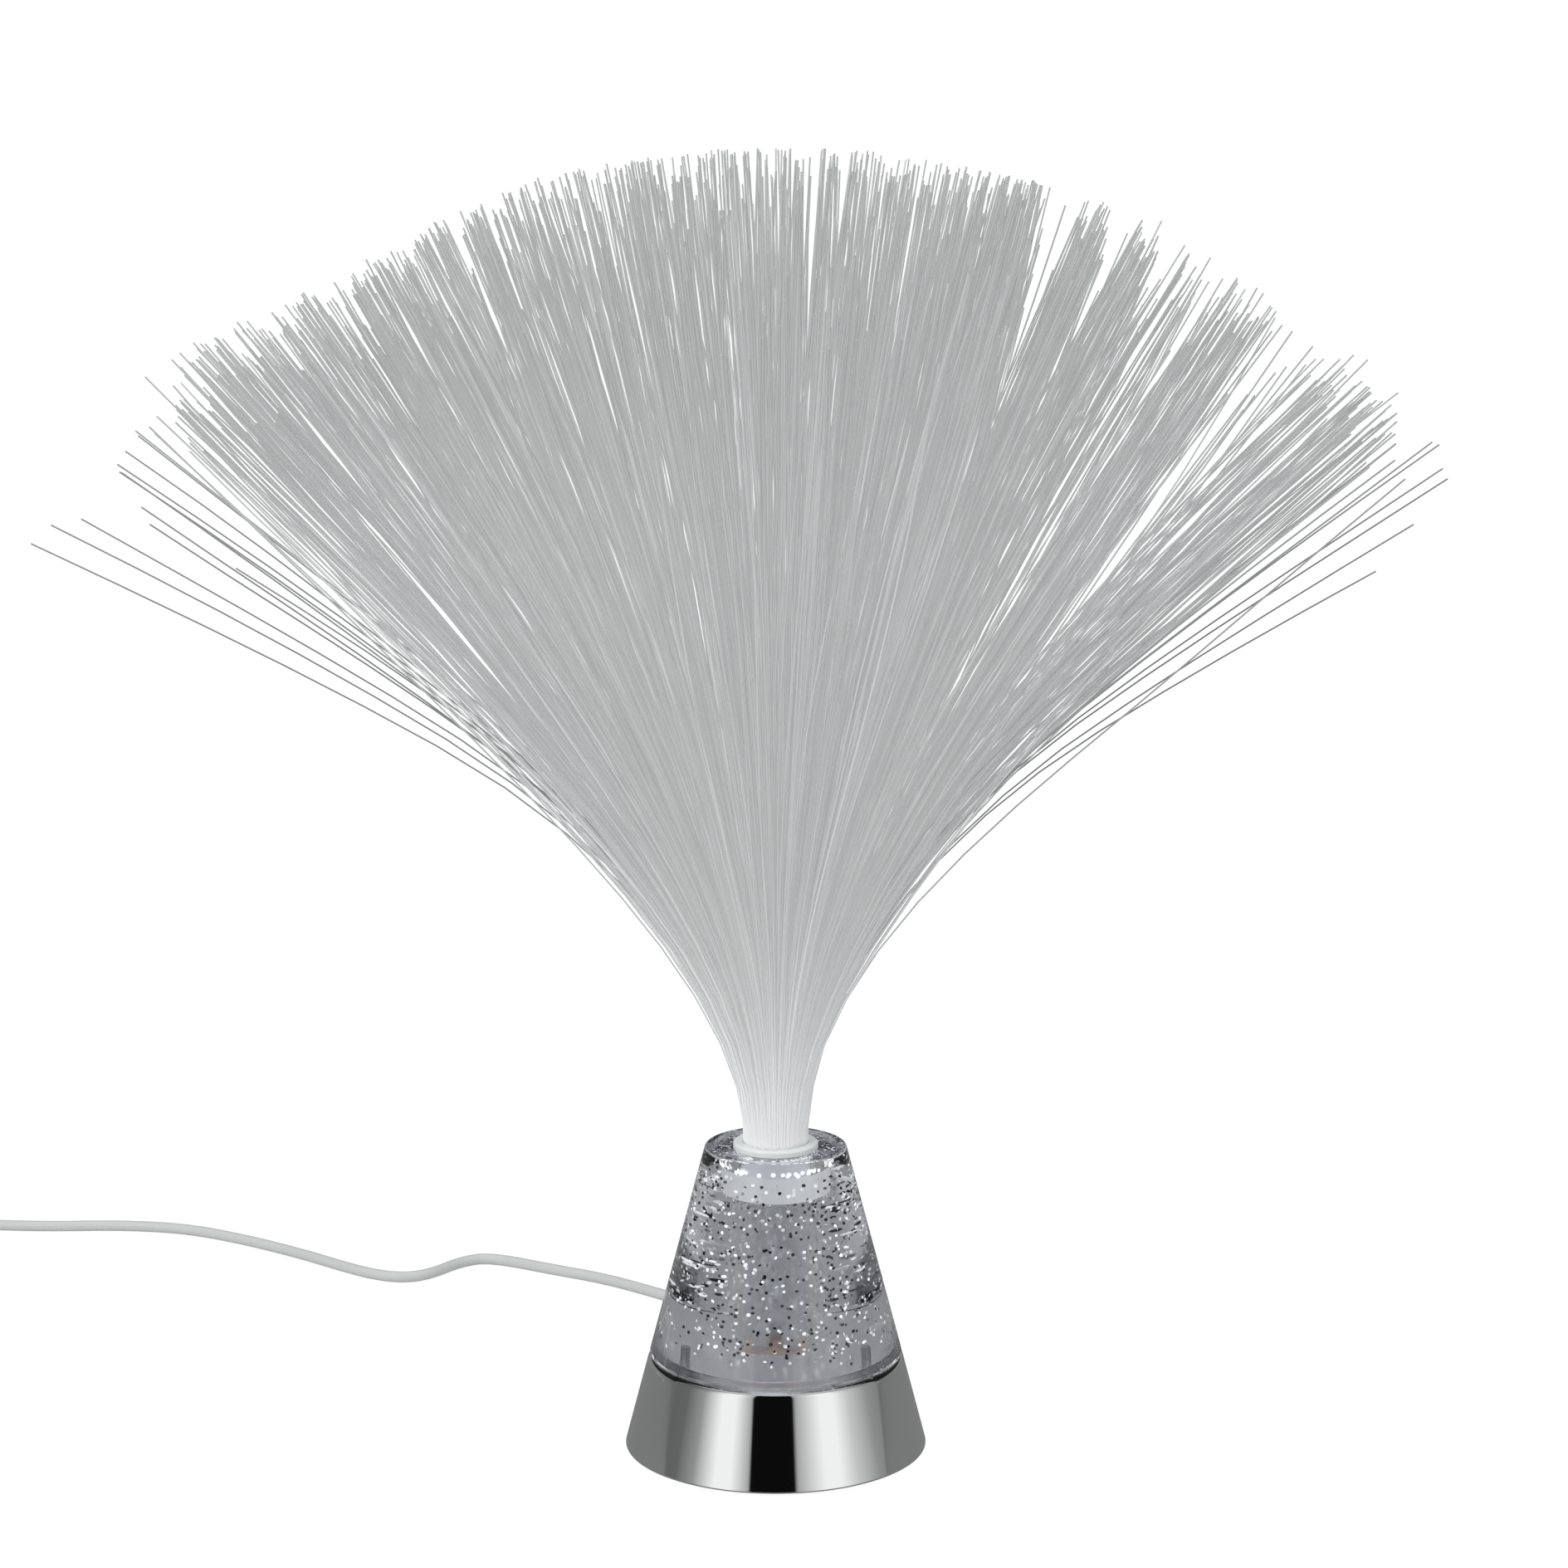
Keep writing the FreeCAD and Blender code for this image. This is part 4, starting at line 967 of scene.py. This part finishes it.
# %% Finish of the cut fibre ends
ends_finish = Finish("cut_fibre_ends", IOR=1.45)
cells = ends_finish.node("ShaderNodeTexVoronoi", {"feature": "DISTANCE_TO_EDGE"},
                         {"Vector": ends_finish.place(), "Scale": 1900.0})
ends_finish.feed("Base Color", ends_finish.ramp(cells, [
    (0.0, (0.45, 0.46, 0.455)), (0.12, (0.84, 0.85, 0.845)), (1.0, (0.88, 0.89, 0.885))]))
ends_finish.feed("Roughness", 0.35 + cells * 0.3)
ends_finish.feed("Normal", ends_finish.bump(cells, 0.3, 0.00005))
dress(ends_finish, nodes["bundle_root"])
print("bundle root has", len(nodes["bundle_root"].data.polygons), "faces")

# %% [markdown]
# ## Gland
# Where the lead leaves the base, a soft tapered gland with ribs keeps it from
# kinking. It is turned about the lead's own line, which points to the rear.

# %% Gland with ribs
gland_corners = [(1.85, 34.2), (3.7, 34.2, 0.3), (3.7, 35.8, 0.3), (3.0, 36.2), (3.0, 40.61),
                 (4.4, 40.61, 0.2), (4.4, 42.1, 0.5), (3.45, 42.1, 0.3)]
rib_radius = np.linspace(3.35, 2.7, 5)
for index, radius in enumerate(rib_radius):
    start_at = 43.0 + index * 1.8
    gland_corners += [(radius, start_at, 0.15), (radius - 0.05, start_at + 1.0, 0.15),
                      (radius - 0.55, start_at + 1.25, 0.1), (radius - 0.6, start_at + 1.6, 0.1)]
gland_corners = gland_corners[:-2] + [(1.85, 52.1)]
gland = turned("lead_gland", gland_corners, 64, Matrix.Translation((0, 0, gland_level * MM)) @ rearward)
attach(gland, "base")
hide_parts("strain_relief")
dress(rubber_finish, gland)
print("gland faces", len(gland.data.polygons))

# %% [markdown]
# ## Plug
# The moulded grip is a loft: at each place along the plug the section is a
# rounded rectangle, |y/a|^4 + |z/b|^4 = 1, whose half sizes a and b grow out of
# the lead's round neck. Finger ribs are a ripple in a and b. The front closes
# round the metal shell and goes back inside it as a socket.

# %% Grip as a loft
plug_place = Matrix.Translation(plug_end) @ Matrix.Rotation(-math.pi / 2, 4, "Z")


def grip_loft(around=64):
    """Stations of (x, half width, half height, squareness) joined round and closed at both ends."""
    neck = np.linspace(0, 8, 14)
    risen = np.clip((neck - 4) / 4, 0, 1)
    ease = risen ** 2 * (3 - 2 * risen)
    grown = [(x, 2.4 + 0.025 * x + 5.3 * e, 2.4 + 0.025 * x + 1.4 * e, 2 + 2 * e) for x, e in zip(neck, ease)]
    reach = np.linspace(8.6, 30.6, 45)
    ripple = 0.14 * np.sin((reach - 10) * 2 * np.pi / 2.4) * (np.abs(reach - 17.2) < 7.2)
    body_rows = [(x, 7.8 - 0.45 * math.sin((x - 8) / 24 * math.pi) + r, 4.0 - 0.1 + r * 0.5, 4)
                 for x, r in zip(reach, ripple)]
    front = [(31.4, 7.65, 3.85, 4), (31.9, 7.3, 3.5, 4), (32.0, 6.9, 3.1, 4)]
    socket = [(32.0, 6.05, 2.3, 8), (28.0, 6.05, 2.3, 8)]
    rows = np.array([(0.0, 0.02, 0.02, 2)] + grown + body_rows + front + socket + [(28.0, 0.02, 0.02, 8)])
    angle = np.linspace(0, 2 * np.pi, around, endpoint=False)
    cosine, sine = np.cos(angle), np.sin(angle)
    power = 2 / rows[:, 3:4]
    y = rows[:, 1:2] * np.sign(cosine) * np.abs(cosine) ** power
    z = rows[:, 2:3] * np.sign(sine) * np.abs(sine) ** power
    x = np.repeat(rows[:, :1], around, axis=1)
    points = np.stack([x, y, z], axis=-1).reshape(-1, 3) * MM
    faces = grid_faces(len(rows), around, False, True)
    faces += [list(range(around)), list(range(len(rows) * around - 1, (len(rows) - 1) * around - 1, -1))]
    return points, faces


grip_points, grip_faces = grip_loft()
grip = make_piece("plug_grip_moulding", finish_place(grip_points, plug_place), grip_faces, crease=50.0)
work = bmesh.new()
work.from_mesh(grip.data)
bmesh.ops.recalc_face_normals(work, faces=work.faces)
work.to_mesh(grip.data)
work.free()
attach(grip, "base")
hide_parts("plug_grip")
dress(lead_finish, grip)
print("grip faces", len(grip.data.polygons))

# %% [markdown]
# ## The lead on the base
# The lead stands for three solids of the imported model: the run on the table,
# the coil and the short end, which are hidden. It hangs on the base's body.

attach(lead, "base")
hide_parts("power_cord", "cord_coil", "plug_cord")
lead_data.materials.append(lead_finish.material)

# %% [markdown]
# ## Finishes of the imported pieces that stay
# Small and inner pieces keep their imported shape, and only get their finish.

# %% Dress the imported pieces
dress(steel_finish, nodes["plate_screws"], nodes["clamp_screws"])
dress(cone_screw_finish, nodes["cone_screws"])
dress(plate_finish, nodes["base_plate"])
dress(foot_finish, nodes["foot_ring"])
dress(board_finish, nodes["led_board"])
dress(part_finish, nodes["board_parts"])
dress(epoxy_finish, nodes["leds"])
dress(wire_finish, nodes["lead_wires"])
dress(black_finish, nodes["switch_bezel"])
dress(rocker_finish, nodes["switch_rocker"])
dress(nickel_finish, nodes["plug_shell"], nodes["switch_terminals"])
dress(gold_finish, nodes["plug_contacts"])
dress(tongue_finish, nodes["plug_tongue"])
dress(tie_finish, nodes["cord_tie"])
dress(lead_finish, nodes["cord_tail"])
dress(clamp_finish, nodes["cord_clamp"])
undressed = [name for name, piece in nodes.items() if not piece.hide_render and not piece.data.materials]
print("pieces with no finish", undressed)

# %% [markdown]
# ## Studio
# The floor and what lies behind are white to the camera, and to rays from
# metal and glass as well, while lamps and a soft sky light the lamp at a plain
# level. Round the table stands a ring of panels: a black one behind the camera,
# a bright one on each side of it, and grey ones further round, with a ceiling
# and a table panel to close the ring. Only mirrors and clear pieces see them.
# Each panel has one brightness for mirrored rays and one for rays that come
# through the acrylic, and counts as plain sky after a diffuse bounce.

# %% Floor
def light_share(tree):
    """1 for camera, glossy and transmission rays, else 0."""
    path = tree.nodes.new("ShaderNodeLightPath")
    camera_ray, glossy_ray, transmission_ray = (
        Value(tree, path.outputs[name]) for name in ("Is Camera Ray", "Is Glossy Ray", "Is Transmission Ray"))
    return camera_ray + glossy_ray + transmission_ray


floor_corners = [(x, y, -0.0003) for x, y in ((-40, -40), (40, -40), (40, 40), (-40, 40))]
floor = make_piece("floor", floor_corners, [(0, 1, 2, 3)])
floor_finish = Finish("white_floor", Roughness=0.9, Specular_IOR_Level=0.0)
paper = floor_finish.noise(40.0, 2.0)
paper_colour = floor_finish.mix(paper, (0.84, 0.84, 0.84), (0.86, 0.86, 0.86))
tree = floor_finish.tree
seen = light_share(tree)
floor_finish.feed("Base Color", floor_finish.mix(seen, paper_colour, (0.14, 0.14, 0.14)))
lit = tree.nodes.new("ShaderNodeEmission")
join(tree, lit.inputs["Strength"], seen * 0.92)
both = tree.nodes.new("ShaderNodeAddShader")
tree.links.new(floor_finish.shader.outputs[0], both.inputs[0])
tree.links.new(lit.outputs[0], both.inputs[1])
tree.links.new(both.outputs[0], floor_finish.output.inputs["Surface"])
dress(floor_finish, floor)
print("floor finish nodes", len(tree.nodes))

# %% Sky
world = bpy.data.worlds.new("soft_sky")
scene.world = world
world.use_nodes = True
sky = world.node_tree
sky.nodes.clear()
plain = sky.nodes.new("ShaderNodeBackground")
plain.inputs["Color"].default_value = (0.96, 0.98, 1.0, 1.0)
plain.inputs["Strength"].default_value = 0.62
white = sky.nodes.new("ShaderNodeBackground")
white.inputs["Color"].default_value = (1.0, 1.0, 1.0, 1.0)
white.inputs["Strength"].default_value = 1.0
choose = sky.nodes.new("ShaderNodeMixShader")
sky_out = sky.nodes.new("ShaderNodeOutputWorld")
sky.links.new(light_share(sky).socket, choose.inputs[0])
sky.links.new(plain.outputs[0], choose.inputs[1])
sky.links.new(white.outputs[0], choose.inputs[2])
sky.links.new(choose.outputs[0], sky_out.inputs["Surface"])
print("sky strength", round(plain.inputs["Strength"].default_value, 2))

# %% Ring of panels, brightness by azimuth from the camera's side
mirrored_stops = [
    (-180, 0.28), (-125, 0.26), (-106, 0.18), (-93, 0.14), (-80, 0.15), (-64, 0.34), (-46, 1.06),
    (-34, 1.06), (-20.5, 0.45), (-18.5, 0.004), (14, 0.004), (17, 0.45), (38, 1.05), (50, 1.05),
    (64, 0.65), (84, 0.32), (108, 0.20), (135, 0.27), (180, 0.28)]
through_stops = [(-180, 0.31), (-90, 0.28), (-60, 0.82), (-30, 0.76), (-14, 0.31), (14, 0.31),
                 (30, 0.76), (60, 0.82), (90, 0.28), (180, 0.31)]


def panel_light(degrees, stops):
    """Brightness of the ring at an azimuth from the camera's side, by straight lines between stops."""
    return np.interp(degrees, [stop[0] for stop in stops], [stop[1] for stop in stops])


def store_light(piece, name, values):
    """Keeps one brightness for every point of a panel."""
    kept = piece.data.attributes.new(name, "FLOAT", "POINT")
    kept.data.foreach_set("value", np.asarray(values, np.float32))


ring_around = 720
ring_turn = np.linspace(-180, 180, ring_around, endpoint=False)
ring_level = np.array([0.0, 0.35, 0.7, 1.2, 2.6])
ring_radius = 2.4
ring_angle = np.radians(ring_turn - 90)
ring_points = np.stack(np.broadcast_arrays(
    ring_radius * np.cos(ring_angle)[None], ring_radius * np.sin(ring_angle)[None],
    ring_level[:, None]), axis=-1)
ring = make_piece("reflection_panels", ring_points, grid_faces(len(ring_level), ring_around, False, True))
high_behind = (np.abs(ring_turn)[None] > 100) & (ring_level[:, None] > 0.5)
behind_dimming = 0.06
mirrored_light = panel_light(ring_turn, mirrored_stops) * np.where(high_behind, behind_dimming, 1.0)
store_light(ring, "mirrored", mirrored_light.ravel())
store_light(ring, "through", np.tile(panel_light(ring_turn, through_stops), len(ring_level)))
print("ring of panels has", len(ring.data.polygons), "faces")

# %% Finish of the panels, by the kind of ray
ring_finish = Finish("studio_panels")
tree = ring_finish.tree
tree.nodes.remove(ring_finish.shader)
glowing = tree.nodes.new("ShaderNodeEmission")
mirrored = ring_finish.node("ShaderNodeAttribute", {"attribute_name": "mirrored"}, out="Fac")
through = ring_finish.node("ShaderNodeAttribute", {"attribute_name": "through"}, out="Fac")
path = tree.nodes.new("ShaderNodeLightPath")
refracted = Value(tree, path.outputs["Is Transmission Ray"])
bounced = ring_finish.node("ShaderNodeMath", {"operation": "GREATER_THAN"}, {
    0: Value(tree, path.outputs["Diffuse Depth"]), 1: 0.5})
direct = mirrored * (1 - refracted) + through * refracted
after_bounce = 1.3
join(tree, glowing.inputs["Strength"], direct * (1 - bounced) + bounced * after_bounce)
tree.links.new(glowing.outputs[0], ring_finish.output.inputs["Surface"])
dress(ring_finish, ring)
print("panel finish nodes", len(tree.nodes))


# %% Panels on the table and overhead
def disc_panel(name, level, inner, mirrored, through):
    """Flat ring at one level, as points on circles of five radii, each with its own brightness."""
    angle = np.linspace(0, 2 * np.pi, 180, endpoint=False)
    radius = np.linspace(inner, ring_radius - 0.01, 5)[:, None]
    points = np.stack(np.broadcast_arrays(radius * np.cos(angle), radius * np.sin(angle), level), axis=-1)
    panel = make_piece(name, points, grid_faces(len(radius), len(angle), False, True))
    store_light(panel, "mirrored", np.repeat(mirrored, len(angle)))
    store_light(panel, "through", np.full(len(radius) * len(angle), through))
    dress(ring_finish, panel)
    return panel


table = disc_panel("table_panel", 0.0002, 0.02, (0.225, 0.205, 0.18, 0.16, 0.14), 0.28)
ceiling = disc_panel("ceiling_panel", 2.6, 0.001, (0.6, 0.6, 0.6, 0.6, 0.03), 0.30)
for panel in (ring, table, ceiling):
    panel.visible_camera = False
    panel.visible_diffuse = False
    panel.visible_shadow = False
print("panels", ring.name, table.name, ceiling.name)


# %% Soft lamps
def soft_lamp(name, place, target, size, power):
    """Square area lamp at a place, turned to a target; reflections see the panels instead."""
    data = bpy.data.lights.new(name, "AREA")
    data.size = size
    data.energy = power
    lamp = bpy.data.objects.new(name, data)
    lamp.location = place
    lamp.rotation_euler = (Vector(target) - Vector(place)).to_track_quat("-Z", "Y").to_euler()
    lamp.visible_glossy = False
    lamp.visible_transmission = False
    scene.collection.objects.link(lamp)
    return lamp


soft_lamp("key_lamp", (-1.0, -1.2, 1.3), (0, 0, 0.2), 1.2, 19.0)
soft_lamp("fill_lamp", (1.3, -1.0, 0.9), (0, 0, 0.2), 1.2, 3.0)
soft_lamp("top_lamp", (0.1, 0.3, 1.9), (0, 0, 0.2), 1.4, 10.0)
scene.view_settings.view_transform = "Standard"
